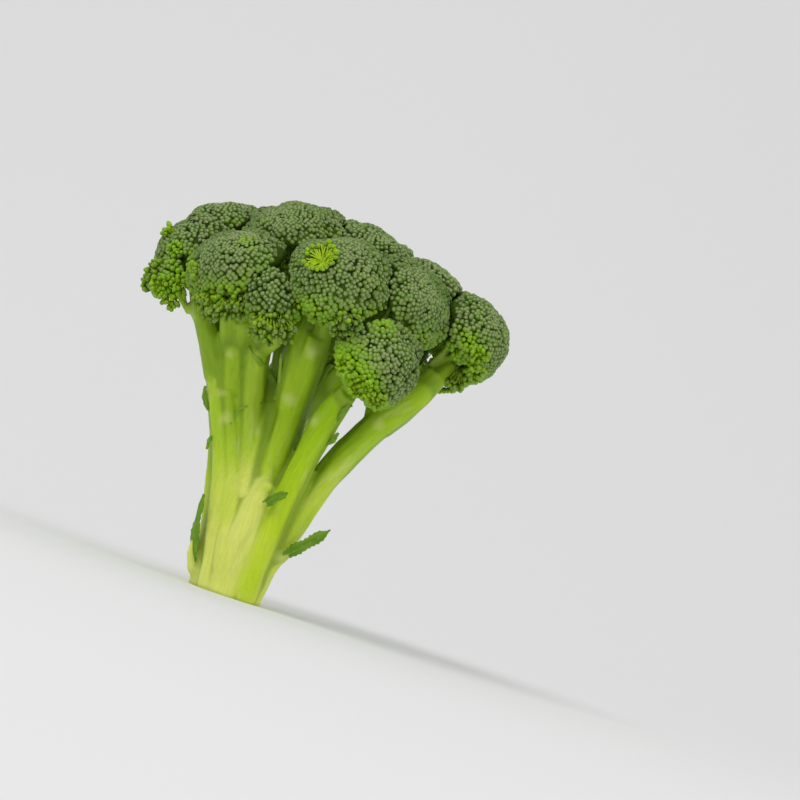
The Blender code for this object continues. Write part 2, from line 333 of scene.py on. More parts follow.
def bud_shape():
    """(points, triangles, rise) of a bud one long, its base at the origin."""
    points, rise = [(0.0, 0.0, 0.0)], [0.0]
    half = 0.5 * BUD_WIDTH / BUD_LENGTH
    for up, wide in BUD_RINGS:
        for k in range(BUD_SIDES):
            angle = k / BUD_SIDES * math.tau
            pinch = 1 + SEPAL_DEPTH * up**3 * math.cos(SEPALS * angle)
            points.append((half * wide * pinch * math.cos(angle), half * wide * pinch * math.sin(angle), up))
            rise.append(up)
    points.append((0.0, 0.0, DIMPLE))
    rise.append(1.0)
    faces = []
    last = len(points) - 1
    for k in range(BUD_SIDES):
        after = (k + 1) % BUD_SIDES
        faces.append((0, 1 + after, 1 + k))
        for ring in range(len(BUD_RINGS) - 1):
            a, b = 1 + ring * BUD_SIDES + k, 1 + ring * BUD_SIDES + after
            faces += [(a, b, b + BUD_SIDES), (a, b + BUD_SIDES, a + BUD_SIDES)]
        top = last - BUD_SIDES
        faces.append((top + k, top + after, last))
    return np.array(points), np.array(faces), np.array(rise)


BUD_POINTS, BUD_FACES, BUD_RISE = bud_shape()
print("one bud:", len(BUD_POINTS), "points,", len(BUD_FACES), "triangles")

# %% [markdown]
# Each bud points its own way. A turning matrix takes the upright bud to its place, and
# all matrices of a floret are worked out at once, because a loop would be slow.

# %% Directions


def unit(vectors):
    vectors = np.asarray(vectors, float)
    return vectors / np.maximum(np.linalg.norm(vectors, axis=-1, keepdims=True), 1e-12)


def frames_along(axes, spin):
    """Turning matrices whose third column is each axis, spun about it."""
    axes = unit(axes)
    helper = np.where(np.abs(axes[:, 2:3]) < 0.9, [[0.0, 0.0, 1.0]], [[1.0, 0.0, 0.0]])
    first = unit(np.cross(helper, axes))
    second = np.cross(axes, first)
    c, s = np.cos(spin)[:, None], np.sin(spin)[:, None]
    return np.stack([first * c + second * s, second * c - first * s, axes], axis=2)


print("turning matrix of an upright axis:", frames_along([[0, 0, 1]], np.zeros(1))[0].round().tolist())

# %% [markdown]
# Meshes this large are filled from arrays rather than face by face. A batch gathers
# shapes with the numbers stored on their points, and turns them into one object.

# %% Batches of small shapes


def store(mesh, name, values):
    """Puts one number, or one vector, on every point of a mesh."""
    vector = values.ndim == 2
    layer = mesh.attributes.new(name, "FLOAT_VECTOR" if vector else "FLOAT", "POINT")
    layer.data.foreach_set("vector" if vector else "value", values.astype(np.float32).ravel())


class Batch:
    """Points, triangles, stored numbers and material slots of one object."""

    def __init__(self):
        self.points, self.faces, self.slots = [], [], []
        self.stored = {"tone": [], "youth": [], "rise": []}
        self.count = 0

    def add(self, points, faces, tone, youth, rise, slot=0):
        self.points.append(points)
        self.faces.append(np.asarray(faces) + self.count)
        self.slots.append(np.full(len(faces), slot))
        for name, value in (("tone", tone), ("youth", youth), ("rise", rise)):
            self.stored[name].append(np.broadcast_to(np.asarray(value, float), len(points)))
        self.count += len(points)

    def stamp(self, places, axes, spin, length, width, tone, youth):
        """One bud from each place along its axis."""
        turns = frames_along(axes, spin)
        sized = BUD_POINTS[None] * np.stack([width, width, length], axis=1)[:, None, :]
        points = np.einsum("nij,nkj->nki", turns, sized) + places[:, None, :]
        many, each = len(places), len(BUD_POINTS)
        faces = BUD_FACES[None] + (np.arange(many) * each)[:, None, None]
        self.add(points.reshape(-1, 3), faces.reshape(-1, 3), np.repeat(tone, each),
                 np.repeat(youth, each), np.tile(BUD_RISE, many))

    def tube(self, path, radii, sides, tone, youth):
        """A closed tapering tube along a path."""
        path, radii = np.asarray(path, float), np.asarray(radii, float)
        ahead = unit(np.gradient(path, axis=0))
        first = unit(np.cross(ahead[0], ahead[0] + (0.37, 0.61, -0.43)))
        rings = []
        for place, direction, radius in zip(path, ahead, radii):
            first = unit(first - direction * (first @ direction))
            second = np.cross(direction, first)
            angles = (np.arange(sides) / sides * math.tau)[:, None]
            rings.append(place + radius * (np.cos(angles) * first + np.sin(angles) * second))
        points = np.vstack([path[:1], *rings, path[-1:]])
        last, faces = len(points) - 1, []
        for k in range(sides):
            after = (k + 1) % sides
            faces.append((0, 1 + after, 1 + k))
            for ring in range(len(path) - 1):
                a, b = 1 + ring * sides + k, 1 + ring * sides + after
                faces += [(a, b, b + sides), (a, b + sides, a + sides)]
            faces.append((last - sides + k, last - sides + after, last))
        rise = np.concatenate([[0.0], np.repeat(np.linspace(0, 1, len(path)), sides), [1.0]])
        self.add(points, faces, tone, youth, rise)

    def build(self, name, materials):
        points = np.concatenate(self.points).astype(np.float32)
        faces = np.concatenate(self.faces).astype(np.int32)
        mesh = bpy.data.meshes.new(name)
        mesh.vertices.add(len(points))
        mesh.vertices.foreach_set("co", points.ravel())
        mesh.loops.add(faces.size)
        mesh.loops.foreach_set("vertex_index", faces.ravel())
        mesh.polygons.add(len(faces))
        mesh.polygons.foreach_set("loop_start", np.arange(0, faces.size, 3, dtype=np.int32))
        mesh.polygons.foreach_set("material_index", np.concatenate(self.slots).astype(np.int32))
        for key, values in self.stored.items():
            store(mesh, key, np.concatenate(values))
        mesh.update(calc_edges=True)
        mesh.shade_smooth()
        for material in materials:
            mesh.materials.append(material)
        made = bpy.data.objects.new(name, mesh)
        bpy.context.scene.collection.objects.link(made)
        return made


# %% [markdown]
# Rays are the rulers of this lesson. A fan of rays that turns by the golden angle from
# one to the next covers a dome evenly, and a single ray through a pixel of the picture
# finds the place on the solid that is seen there.

# %% Rays
TURN = math.pi * (3 - math.sqrt(5))


def sunflower(axis, count, widest):
    """Rays spread evenly round an axis, out to the widest angle, and that angle for each."""
    axis = unit(axis)
    side = unit(np.cross(axis, (0.3, 1.0, 0.2)))
    front = np.cross(axis, side)
    k = np.arange(count)
    along = 1 - (k + 0.5) / count * (1 - math.cos(widest))
    across, around = np.sqrt(1 - along**2), k * TURN
    rays = (along[:, None] * axis + across[:, None] * (np.cos(around)[:, None] * side
            + np.sin(around)[:, None] * front))
    return rays, np.arccos(along)


def tree_of(mesh):
    cage = bmesh.new()
    cage.from_mesh(mesh)
    tree = BVHTree.FromBMesh(cage)
    cage.free()
    return tree


def seen_at(tree, x, y):
    """The first point of a surface that is seen at a pixel of the photograph."""
    start, way = pixel_ray(x, y)
    place, _, _, _ = tree.ray_cast(start, way)
    return place


print("golden angle, degrees:", round(math.degrees(TURN), 1))

# %% [markdown]
# Each floret's solid says where its surface is. Rays from its middle are cast on the
# solid, and the answers are averaged over a few millimetres, which wipes out the
# solid's coarse clusters but keeps its dome and the seams against its neighbours.

# %% Reading a floret's form
FAN_POINT = np.array([0.0, 0.0, 70.0]) * MM  # the branches fan out from about here
NECK_POINTS = 9  # the ring that ends a floret's solid, and its middle
SAMPLES = 1400
DOME_SHARE = 80  # of the samples on the dome, in percent, lie within a floret's radius
NEAR_FLORETS = 1.3  # neighbours lie within this many of both radii
CHUNK = 400  # rays are worked out in chunks of about this many
AVERAGE_OVER = 3.2 * MM
NEIGHBOUR_WITHIN = 5.0 * MM  # skin has no neighbour this close in front of it
STEP_OUT = 0.05 * MM
SLOPE_DAMPING = 0.12  # keeps the fitted slope calm where there are few samples
OUTERMOST = 1.45  # no skin lies further out, in radii
TRUST_FROM = 0.86  # the solid's skin is followed where this much of it is open
OPEN_WEIGHT, BURIED_WEIGHT = 1e-3, 1e-6  # of samples beside a seam, and inside one


class Form:
    """Middle, lean, neck, radius and surface of one floret, read from its solid."""

    def __init__(self, name):
        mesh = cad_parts[name].data
        points = np.empty(len(mesh.vertices) * 3)
        mesh.vertices.foreach_get("co", points)
        points = points.reshape(-1, 3)
        ring = points[np.argsort(np.linalg.norm(points - FAN_POINT, axis=1))[:NECK_POINTS]]
        self.name = name
        self.neck = ring.mean(0)
        self.neck_radius = np.linalg.norm(ring - self.neck, axis=1).max()
        self.middle = 0.5 * (points.min(0) + points.max(0))
        self.lean = unit(self.middle - self.neck)
        self.tree = tree_of(mesh)
        self.rays, _ = sunflower(self.lean, SAMPLES, math.pi)
        self.reach = np.array([self.cast(ray) for ray in self.rays])
        self.radius = np.percentile(self.reach[self.rays @ self.lean > 0], DOME_SHARE)

    def cast(self, ray):
        _, _, _, far = self.tree.ray_cast(Vector(self.middle), Vector(ray))
        return far or 0.0

    def find_skin(self, others):
        """Marks the samples that meet the air, and not a neighbour's side."""
        self.open, self.trusted = np.ones(SAMPLES), np.ones(SAMPLES)
        near = [other for other in others if other is not self
                and np.linalg.norm(other.middle - self.middle)
                < NEAR_FLORETS * (other.radius + self.radius)]
        for k, (ray, far) in enumerate(zip(self.rays, self.reach)):
            start = Vector(self.middle + ray * (far + STEP_OUT))
            if any(other.tree.ray_cast(start, Vector(ray), NEIGHBOUR_WITHIN)[0] for other in near):
                self.open[k] = 0.0
        self.trusted = self.open * (self.surface(self.rays)[1] > TRUST_FROM)

    def surface(self, rays):
        """Along each ray: distance to the smoothed skin, and how much of it is open there.

        A plane is fitted to the nearby samples, so that the skin goes on in its own
        slope up to a neighbour, where the solid's edge is blunt.
        """
        sharpness = (self.radius / AVERAGE_OVER) ** 2
        far, share = [], []
        for chunk in np.array_split(rays, max(1, len(rays) // CHUNK)):
            weight = np.exp(sharpness * (chunk @ self.rays.T - 1))
            share.append((weight * self.open).sum(1) / weight.sum(1))
            fit = weight * (self.trusted + OPEN_WEIGHT * self.open + BURIED_WEIGHT)
            fit = fit / fit.sum(1, keepdims=True)
            first = unit(np.cross(chunk, chunk[:, [1, 2, 0]] + (0.31, -0.17, 0.23)))
            sides = [first @ self.rays.T, np.cross(chunk, first) @ self.rays.T]
            table = np.empty((len(chunk), 3, 3))
            basis = [np.ones_like(weight), *sides]
            for i in range(3):
                for j in range(3):
                    table[:, i, j] = (fit * basis[i] * basis[j]).sum(1)
            table[:, [1, 2], [1, 2]] += SLOPE_DAMPING / sharpness
            right = np.stack([(fit * one * self.reach).sum(1) for one in basis], axis=1)
            level = np.linalg.solve(table, right[:, :, None])[:, 0, 0]
            far.append(np.minimum(level, OUTERMOST * self.radius))
        return np.concatenate(far), np.concatenate(share)


forms = {name: Form(name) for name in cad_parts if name.startswith("floret_")}
for form in forms.values():
    form.find_skin(forms.values())
print("florets:", len(forms), "radii, mm:", [round(f.radius / MM) for f in forms.values()])

# %% [markdown]
# Some places are younger and brighter than the rest: on a few the buds stand apart in
# small tufts, and on the front floret they have opened round a little bowl. Their
# places are read off the photograph, with a radius in millimetres for each.

# %% Young patches, tufts and the bowl
PATCHES = [(249, 239, 5.0), (342, 207, 6.0), (180, 262, 9.0), (225, 320, 6.0), (300, 318, 5.0),
           (385, 322, 6.0), (350, 350, 9.0), (362, 380, 9.0), (455, 385, 8.0), (470, 340, 5.0)]
PATCH_YOUTH = 0.7
# Pixel, radius, how far the buds stand out, both in millimetres, and how young they are
TUFTS = [(170, 232, 3.0, 2.5, 0.8), (183, 284, 5.5, 3.0, 0.8), (156, 268, 4.5, 3.0, 0.6),
         (163, 284, 5.0, 4.0, 0.9), (170, 296, 4.5, 4.5, 0.8), (153, 282, 4.0, 4.0, 0.5),
         (196, 270, 3.5, 1.5, 0.7), (176, 250, 3.5, 1.8, 0.8), (263, 322, 5.0, 7.0, 0.45),
         (274, 324, 5.0, 9.0, 0.35), (283, 323, 5.0, 8.0, 0.3), (266, 328, 4.0, 8.0, 0.4),
         (346, 364, 5.0, 2.0, 0.8), (350, 320, 4.5, 5.0, 0.3), (338, 325, 4.0, 3.0, 0.4),
         (360, 384, 6.0, 2.5, 0.9), (376, 398, 4.5, 2.5, 0.7), (479, 354, 4.0, 2.0, 0.8),
         (476, 370, 4.0, 2.0, 0.7), (455, 382, 4.5, 2.5, 0.5), (211, 307, 5.0, 4.5, 0.45),
         (222, 307, 5.0, 5.0, 0.4), (233, 306, 5.0, 5.0, 0.35), (243, 304, 4.5, 4.5, 0.4),
         (205, 300, 4.5, 3.5, 0.5)]
BOWL_PIXEL, BOWL_RADIUS, BOWL_DEPTH = (321, 257), 7.4 * MM, 5.0 * MM


def first_seen(x, y):
    """The nearest point of any floret at a pixel, or None where there is only air."""
    start, _ = pixel_ray(x, y)
    places = [seen_at(form.tree, x, y) for form in forms.values()]
    return min((p for p in places if p), key=lambda p: (p - start).length, default=None)


def placed(marks):
    """Place, radius in metres and the other numbers of the marks that fall on a floret."""
    return [(np.array(place), wide * MM, *rest)
            for x, y, wide, *rest in marks if (place := first_seen(x, y))]


tufts = placed(TUFTS)
patches = [(place, wide, PATCH_YOUTH) for place, wide in placed(PATCHES)]
patches += [(place, wide, young) for place, wide, _, young in tufts]
bowl = np.array(first_seen(*BOWL_PIXEL))
print("young patches:", len(patches), "tufts:", len(tufts), "bowl at, mm:", np.round(bowl / MM))

# %% [markdown]
# Buds gather in clusters a few millimetres wide, and these in wider ones. They could be
# modelled cluster by cluster. Here a field is worked out instead: a bud near a cluster's
# edge sits deeper and tilts outward, which draws the dark furrows between clusters.

# %% Clusters and their furrows
BUD_EDGE = math.radians(126)
CLUSTERS = ((7.6 * MM, 0.75 * MM), (16.5 * MM, 1.4 * MM))  # width and furrow depth
CLUSTER_SHAKE, AXIS_SHAKE = 0.22, 0.15
CLUSTER_CROWD = 1.45  # dome areas that the clusters are counted for
CLUSTER_REACH, FURROW_SHARPNESS = 0.62, 2.4  # where a furrow is deepest, in widths
HEX_ROW = 0.87  # rounds that are packed closely lie in rows this many widths apart


def furrows(form, rays, draw):
    """How deep each bud sits, which way it tilts, and a tone shared by its cluster."""
    deep, tilt = np.zeros(len(rays)), np.zeros((len(rays), 3))
    tone = np.zeros(len(rays))
    for width, depth in CLUSTERS:
        dome = 2 * math.pi * form.radius**2 * CLUSTER_CROWD
        count = max(6, round(dome / (HEX_ROW * width**2)))
        centres, _ = sunflower(form.lean + draw.normal(0, AXIS_SHAKE, 3), count, BUD_EDGE)
        centres = unit(centres + draw.normal(0, CLUSTER_SHAKE * width / form.radius, centres.shape))
        apart = rays @ centres.T
        nearest = apart.argmax(1)
        off = np.arccos(np.clip(apart[np.arange(len(rays)), nearest], -1, 1)) * form.radius
        share = np.clip(off / (CLUSTER_REACH * width), 0, 1)
        deep += depth * share**FURROW_SHARPNESS
        tilt += (rays - centres[nearest]) * form.radius / width
        tone += draw.random(count)[nearest] * 0.5
    return deep, tilt, tone


print("clusters, mm wide:", [round(width / MM, 1) for width, _ in CLUSTERS])

# %% [markdown]
# Buds ripen from the top of a dome to its rim, so the shaded rim is yellow-green. A
# slow noise keeps that change from running in a ring, and the patches are added to it.

# %% How young each bud is
YOUNG_FROM = math.radians(80)  # from here down the buds turn yellow-green
YOUNG_OVER = math.radians(40)
RIM_YOUTH, MOTTLE_YOUTH, MOTTLE_OFTEN = 0.75, 0.6, 2.4


def young_share(form, polar, rays, tops):
    """0 for ripe buds on top, rising towards the shaded rim and in the young patches."""
    own = Vector(form.middle) * 60
    mottle = np.array([noise.noise(Vector(ray) * MOTTLE_OFTEN + own) for ray in rays])
    rim = np.clip((polar - YOUNG_FROM) / YOUNG_OVER, 0, 1)
    young = RIM_YOUTH * rim + MOTTLE_YOUTH * np.maximum(mottle, 0) * (0.3 + rim)
    for place, wide, youth in patches:
        young = young + youth * np.exp(-(np.linalg.norm(tops - place, axis=1) / wide) ** 2)
    return np.clip(young, 0, 1)


print("buds turn young from", round(math.degrees(YOUNG_FROM)), "degrees off a floret's axis")

# %% [markdown]
# The buds sit on the dome in a sunflower spiral, shaken a little, which packs them
# evenly on any size of dome. Buds deep in a seam between florets would never show, so
# they are left out, and beside a seam they sink a little.

# %% Buds over a floret
SEED = 7
BUD_PITCH = 2.36 * MM
THIN_FROM = math.radians(108)  # from here down there are fewer and fewer buds
THINNED = 0.6  # share of the buds that is gone at the lowest edge
SWELL = 1.2 * MM  # the buds stand this far out of the averaged surface
OPEN_ENOUGH = 0.44  # a bud needs this much open skin around it
SEAM_DEPTH = 0.9 * MM  # how far the buds sink beside a neighbour
SHAKE, TILT_SHAKE = 0.17, 0.12
CLUSTER_TILT = 0.34
TUFT_KEEPS = 0.35  # share of the ordinary buds that stay in a tuft
SMALLEST, LARGEST = 0.84, 1.14  # buds differ this much in size


def add_buds(batch, form, draw):
    area = 2 * math.pi * form.radius**2 * (1 - math.cos(BUD_EDGE))
    count = round(area / (HEX_ROW * BUD_PITCH**2))
    rays, polar = sunflower(form.lean, count, BUD_EDGE)
    rays = unit(rays + draw.normal(0, SHAKE * BUD_PITCH / form.radius, rays.shape))
    far, share = form.surface(rays)
    skin = form.middle + rays * far[:, None]
    thin = np.clip((polar - THIN_FROM) / (BUD_EDGE - THIN_FROM), 0, 1)
    kept = (share > OPEN_ENOUGH) & (draw.random(count) < 1 - THINNED * thin)
    kept &= np.linalg.norm(skin - bowl, axis=1) > BOWL_RADIUS
    for place, wide, _, _ in tufts:
        outside = np.linalg.norm(skin - place, axis=1) > 0.8 * wide
        kept &= outside | (draw.random(count) < TUFT_KEEPS)
    rays, polar, far, share = rays[kept], polar[kept], far[kept], share[kept]
    deep, tilt, tone = furrows(form, rays, draw)
    deep = deep + SEAM_DEPTH * np.clip((1 - share) / (1 - OPEN_ENOUGH), 0, 1) ** 2
    size = draw.uniform(SMALLEST, LARGEST, len(rays))
    length = BUD_LENGTH * size
    width = length * draw.uniform(0.94, 1.06, len(rays))
    axes = unit(rays + CLUSTER_TILT * tilt + draw.normal(0, TILT_SHAKE, rays.shape))
    tops = form.middle + rays * (far + SWELL - deep)[:, None]
    young = young_share(form, polar, rays, tops)
    spin = draw.uniform(0, math.tau, len(rays))
    tone = np.clip(tone * 0.75 + draw.uniform(-0.1, 0.35, len(rays)), 0, 1)
    youth = np.clip(young + draw.normal(0, 0.08, len(rays)), 0, 1)
    batch.stamp(tops - axes * length[:, None], axes, spin, length, width, tone, youth)
    return polar, tops, axes, length


print("bud size, mm:", round(BUD_WIDTH / MM, 2), "by", round(BUD_LENGTH / MM, 2),
      "every", round(BUD_PITCH / MM, 2))

# %% [markdown]
# Between the buds one looks into the dense mass that carries them. A ball pushed out
# to just below the skin stands for it, and its dark colour on top is painted shade.
# Underneath it is drawn in, because there the small stalks fan out and can be seen,
# and it dips below the tufts and the bowl.

# %% The mass under the buds
CORE_DEPTH = 2.3 * MM
CORE_BUMPS = 4  # subdivisions of the ball that becomes the core
HOLLOW_FROM, HOLLOW_OVER = math.radians(88), math.radians(30)
HOLLOW_TO = 0.30  # of the radius is left under the dome
CORE_YOUNG_FROM, CORE_YOUNG_OVER = math.radians(60), math.radians(55)
TUFT_DIP, DIP_REACH = 2.2 * MM, 1.3
CORE_ROUGH, CORE_OFTEN = 0.5, 14


def add_core(batch, form):
    """A closed mass under the buds, dark with painted shade on top, hollowed below where the small stalks fan
    out.
    """
    cage = bmesh.new()
    bmesh.ops.create_icosphere(cage, subdivisions=CORE_BUMPS, radius=1.0)
    rays = unit(np.array([v.co for v in cage.verts]))
    faces = np.array([[v.index for v in f.verts] for f in cage.faces])
    cage.free()
    polar = np.arccos(np.clip(rays @ form.lean, -1, 1))
    far, share = form.surface(rays)
    solid = np.array([form.cast(ray) for ray in rays])
    far = np.minimum(far + SWELL - CORE_DEPTH - SEAM_DEPTH * (1 - share) ** 2, solid)
    under = np.clip((polar - HOLLOW_FROM) / HOLLOW_OVER, 0, 1)
    under = under * under * (3 - 2 * under)
    far = far * (1 - under) + under * HOLLOW_TO * form.radius
    rough = np.array([noise.noise(Vector(ray) * CORE_OFTEN) for ray in rays]) * CORE_ROUGH * MM
    young = np.clip((polar - CORE_YOUNG_FROM) / CORE_YOUNG_OVER, 0, 1)
    points = form.middle + rays * (far + rough)[:, None]
    dips = [(bowl, BOWL_RADIUS, BOWL_DEPTH)] + [(place, wide, TUFT_DIP) for place, wide, _, _ in tufts]
    for place, wide, depth in dips:
        near = np.clip(1 - (np.linalg.norm(points - place, axis=1) / (DIP_REACH * wide)) ** 2, 0, 1)
        points = points - rays * (depth * near)[:, None]
        young = np.maximum(young, np.minimum(1.6 * near, 1))
    batch.add(points, faces, 0.5, young, 0.5, slot=1)


print("mass under the buds:", round(CORE_DEPTH / MM, 1), "mm below their tops")

# %% [markdown]
# Under the dome a branch divides into a few thick arms, each arm into twigs, and each
# twig into the thin stalks that carry single buds. The arms are joined to the stalk's
# skin later on, so only their paths are made here.

# %% Arms of a floret
ARMS_FROM, ARMS_SPREAD = 5, math.radians(58)
ARM_LENGTH = 0.56  # of the way from the neck to the dome
ARM_ROOT, ARM_TIP = 0.62, 0.40  # radii, as shares of the branch's radius
ARM_DEPTH = 4.0 * MM  # how far an arm starts inside the branch
ARM_POINTS = 6
LARGE, LARGER = 20 * MM, 24 * MM  # florets past these radii have one arm more, and two


def bent(start, elbow, end, count):
    """A smooth path from start to end that heads for the elbow first."""
    t = np.linspace(0, 1, count)[:, None]
    return (1 - t) ** 2 * start + 2 * t * (1 - t) * elbow + t**2 * end


def arms_of(form):
    """Paths of the arms that leave the neck of a floret."""
    count = ARMS_FROM + (form.radius > LARGE) + (form.radius > LARGER)
    rays, _ = sunflower(form.lean, count, ARMS_SPREAD)
    far, _ = form.surface(rays)
    paths = []
    for ray, reach in zip(rays, far):
        top = form.middle + ray * reach
        end = form.neck + (top - form.neck) * ARM_LENGTH
        out = end - form.neck
        aside = unit(out - form.lean * (out @ form.lean)) * form.neck_radius
        start = form.neck - form.lean * ARM_DEPTH + 0.30 * aside
        elbow = form.neck + form.lean * 0.25 * form.radius + 0.55 * aside
        paths.append(bent(start, elbow, end, ARM_POINTS))
    return paths


print("arms:", sum(len(arms_of(form)) for form in forms.values()))

# %% [markdown]
# Twigs leave the nearest arm and end under the buds, a few buds apart. Only the stalks
# of the lower buds can be seen from below, so only those are made.

# %% Twigs and bud stalks
TWIG_WIDTH = 9.5 * MM
TWIG_TO = math.radians(108)
TWIG_DEPTH = 4.6 * MM  # how far below the bud tops a twig ends
TWIG_ROOT, TWIG_TIP = 0.55, 0.28  # radii, as shares of the arm's
TWIG_POINTS, TWIG_SIDES, HAIR_SIDES = 5, 7, 4
TWIG_YOUTH = 0.55
HAIR_FROM = math.radians(74)
HAIR_RADIUS = 0.36 * MM


def add_twigs(batch, form, buds, draw):
    polar, tops, axes, length = buds
    arms = arms_of(form)
    ends = np.array([arm[-1] for arm in arms])
    count = max(8, round(2 * math.pi * form.radius**2 * 1.3 / TWIG_WIDTH**2))
    ways, _ = sunflower(form.lean, count, TWIG_TO)
    far, share = form.surface(ways)
    targets = (form.middle + ways * (far - TWIG_DEPTH)[:, None])[share > OPEN_ENOUGH]
    thick = form.neck_radius * ARM_TIP
    for target in targets:
        arm = arms[np.argmin(np.linalg.norm(ends - target, axis=1))]
        start = arm[-2] * 0.6 + arm[-1] * 0.4
        elbow = arm[-1] + (arm[-1] - arm[-2]) * 0.6
        radii = np.linspace(TWIG_ROOT, TWIG_TIP, TWIG_POINTS) * thick
        batch.tube(bent(start, elbow, target, TWIG_POINTS), radii, TWIG_SIDES, draw.random(), TWIG_YOUTH)
    for k in np.flatnonzero(polar > HAIR_FROM):
        base = tops[k] - axes[k] * length[k] * 0.75
        root = targets[np.argmin(np.linalg.norm(targets - base, axis=1))]
        middle = 0.5 * (root + base) + form.lean * 0.4 * MM
        radii = [HAIR_RADIUS * 1.25, HAIR_RADIUS, HAIR_RADIUS]
        batch.tube([root, middle, base], radii, HAIR_SIDES, draw.random(), 0.6 + 0.4 * draw.random())


print("a bud's stalk, mm thick:", round(2 * HAIR_RADIUS / MM, 2))

# %% [markdown]
# In a tuft, and round the bowl, the thin stalks can be seen: each one curves out from a
# common root and ends in a young, slender bud.

# %% Tufts and the bowl's fringe
TUFT_STALKS_PER_MM, TUFT_ROOT = 5.0, 5.5 * MM
TUFT_SPREAD, BOWL_SPREAD = math.radians(78), math.radians(88)
BOWL_STALKS, BOWL_INNER = 64, 0.55  # how many, and the share that fills the bowl's floor
YOUNG_BUD = 2.3 * MM
LEAN_OUT = 0.8 * MM  # the last bit of a stalk is bent outward by this much
SPRAY_POINTS, SPRAY_SIDES = 5, 5


def add_spray(buds, twigs, root, tips, out, draw, young, budded=1.0):
    """Thin stalks from near one root to each tip, most with a young bud at the end."""
    for tip in tips:
        foot = root + draw.normal(0, 0.9 * MM, 3)
        elbow = 0.5 * (foot + tip) + out * draw.uniform(0.2, 1.4) * MM
        path = bent(foot, elbow, tip, SPRAY_POINTS)
        radii = np.linspace(1.5, 1.0, SPRAY_POINTS) * HAIR_RADIUS
        twigs.tube(path, radii, SPRAY_SIDES, draw.random(), 0.6 + 0.35 * young)
        if draw.random() > budded:
            continue
        axis = unit(path[-1] - path[-2] + out * LEAN_OUT)
        size = YOUNG_BUD * draw.uniform(0.8, 1.25)
        buds.stamp((tip - axis * 0.4 * size)[None], axis[None], draw.random(1) * math.tau,
                   np.array([1.15 * size]), np.array([size]), draw.random(1),
                   np.clip(draw.normal(young, 0.15, 1), 0, 1))


def add_tufts(buds, twigs, form, draw):
    for place, wide, stand, young in tufts:
        _, _, _, off = form.tree.find_nearest(Vector(place))
        if off > STEP_OUT:
            continue
        out = unit(place - form.middle)
        ways, _ = sunflower(out, round(TUFT_STALKS_PER_MM * wide / MM), TUFT_SPREAD)
        ways = unit(ways + draw.normal(0, 0.12, ways.shape))
        across = ways - (ways @ out)[:, None] * out
        tips = place + across * wide + out * draw.uniform(0.05, 1.0, (len(ways), 1)) * stand * MM
        add_spray(buds, twigs, place - out * TUFT_ROOT, tips, out, draw, young)


def add_bowl(buds, twigs, form, draw):
    out = unit(bowl - form.middle)
    ways, _ = sunflower(out, BOWL_STALKS, BOWL_SPREAD)
    across = unit(ways - (ways @ out)[:, None] * out)
    reach = np.sqrt(np.linspace(0.2, 1.0, BOWL_STALKS))[:, None]
    up = reach**2 * BOWL_DEPTH - 0.9 * BOWL_DEPTH
    up = up + draw.uniform(-0.3, 0.8, (BOWL_STALKS, 1)) * MM
    tips = bowl + across * reach * BOWL_RADIUS + out * up
    inner = round(BOWL_STALKS * BOWL_INNER)
    root = bowl - out * (BOWL_DEPTH + 1.0 * MM)
    add_spray(buds, twigs, root, tips[:inner], out, draw, 0.9, budded=0.15)
    add_spray(buds, twigs, root, tips[inner:], out, draw, 0.8, budded=0.8)


print("stalks in the bowl:", BOWL_STALKS)

# %% [markdown]
# The small stalks are a paler yellow-green than the buds, and brightest where the buds
# are young. One ramp blends the two, driven by the youth that each stalk stores.

# %% Twig finish


def twig_finish():
    made = Finish("small stalks", roughness=0.45, specular=0.2)
    tone = made.ramp(made.stored("tone"), [(0.0, srgb(112, 146, 26)), (1.0, srgb(146, 176, 52))])
    bright = made.ramp(made.stored("youth"), [(0.7, grey(0.0)), (0.9, grey(1.0))])
    made.put(made.mix(bright, tone, srgb(176, 206, 40)), made.shader.inputs["Base Color"])
    where = made.node("TexCoord").outputs["Object"]
    made.bump(made.noise(where, 1100.0), 0.2 * MM, 0.4)
    return made.material


twig_material = twig_finish()
print("finish:", twig_material.name)

# %% [markdown]
# Now the florets are put together. Each takes the place of its solid and rides on the
# one body. It has a random draw of its own, so that a change to one leaves the others.

# %% Dressing the florets


def dress_floret(form, number):
    draw = np.random.default_rng(SEED + number)
    batch, twigs = Batch(), Batch()
    buds = add_buds(batch, form, draw)
    add_core(batch, form)
    add_twigs(twigs, form, buds, draw)
    add_tufts(batch, twigs, form, draw)
    if form.tree.find_nearest(Vector(bowl))[3] < STEP_OUT:
        add_bowl(batch, twigs, form, draw)
    piece = batch.build(form.name.replace("floret", "buds"), [bud_material, core_and_shade_material])
    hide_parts(form.name)
    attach(piece, "root")
    carrier = twigs.build(form.name.replace("floret", "twigs"), [twig_material])
    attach(carrier, "root")
    return len(buds[0])


bud_total = sum(dress_floret(form, number) for number, form in enumerate(forms.values()))
print("buds:", bud_total)

# %% [markdown]
# Each big branch goes on down the stalk as a strand, and creases part the strands
# nearly to the cut. Their lines are read off the photograph: a few pixels from the top
# down, each with half the strand's width in millimetres, cast on the solid stalk. The
# first number says how fresh a green the strand is.

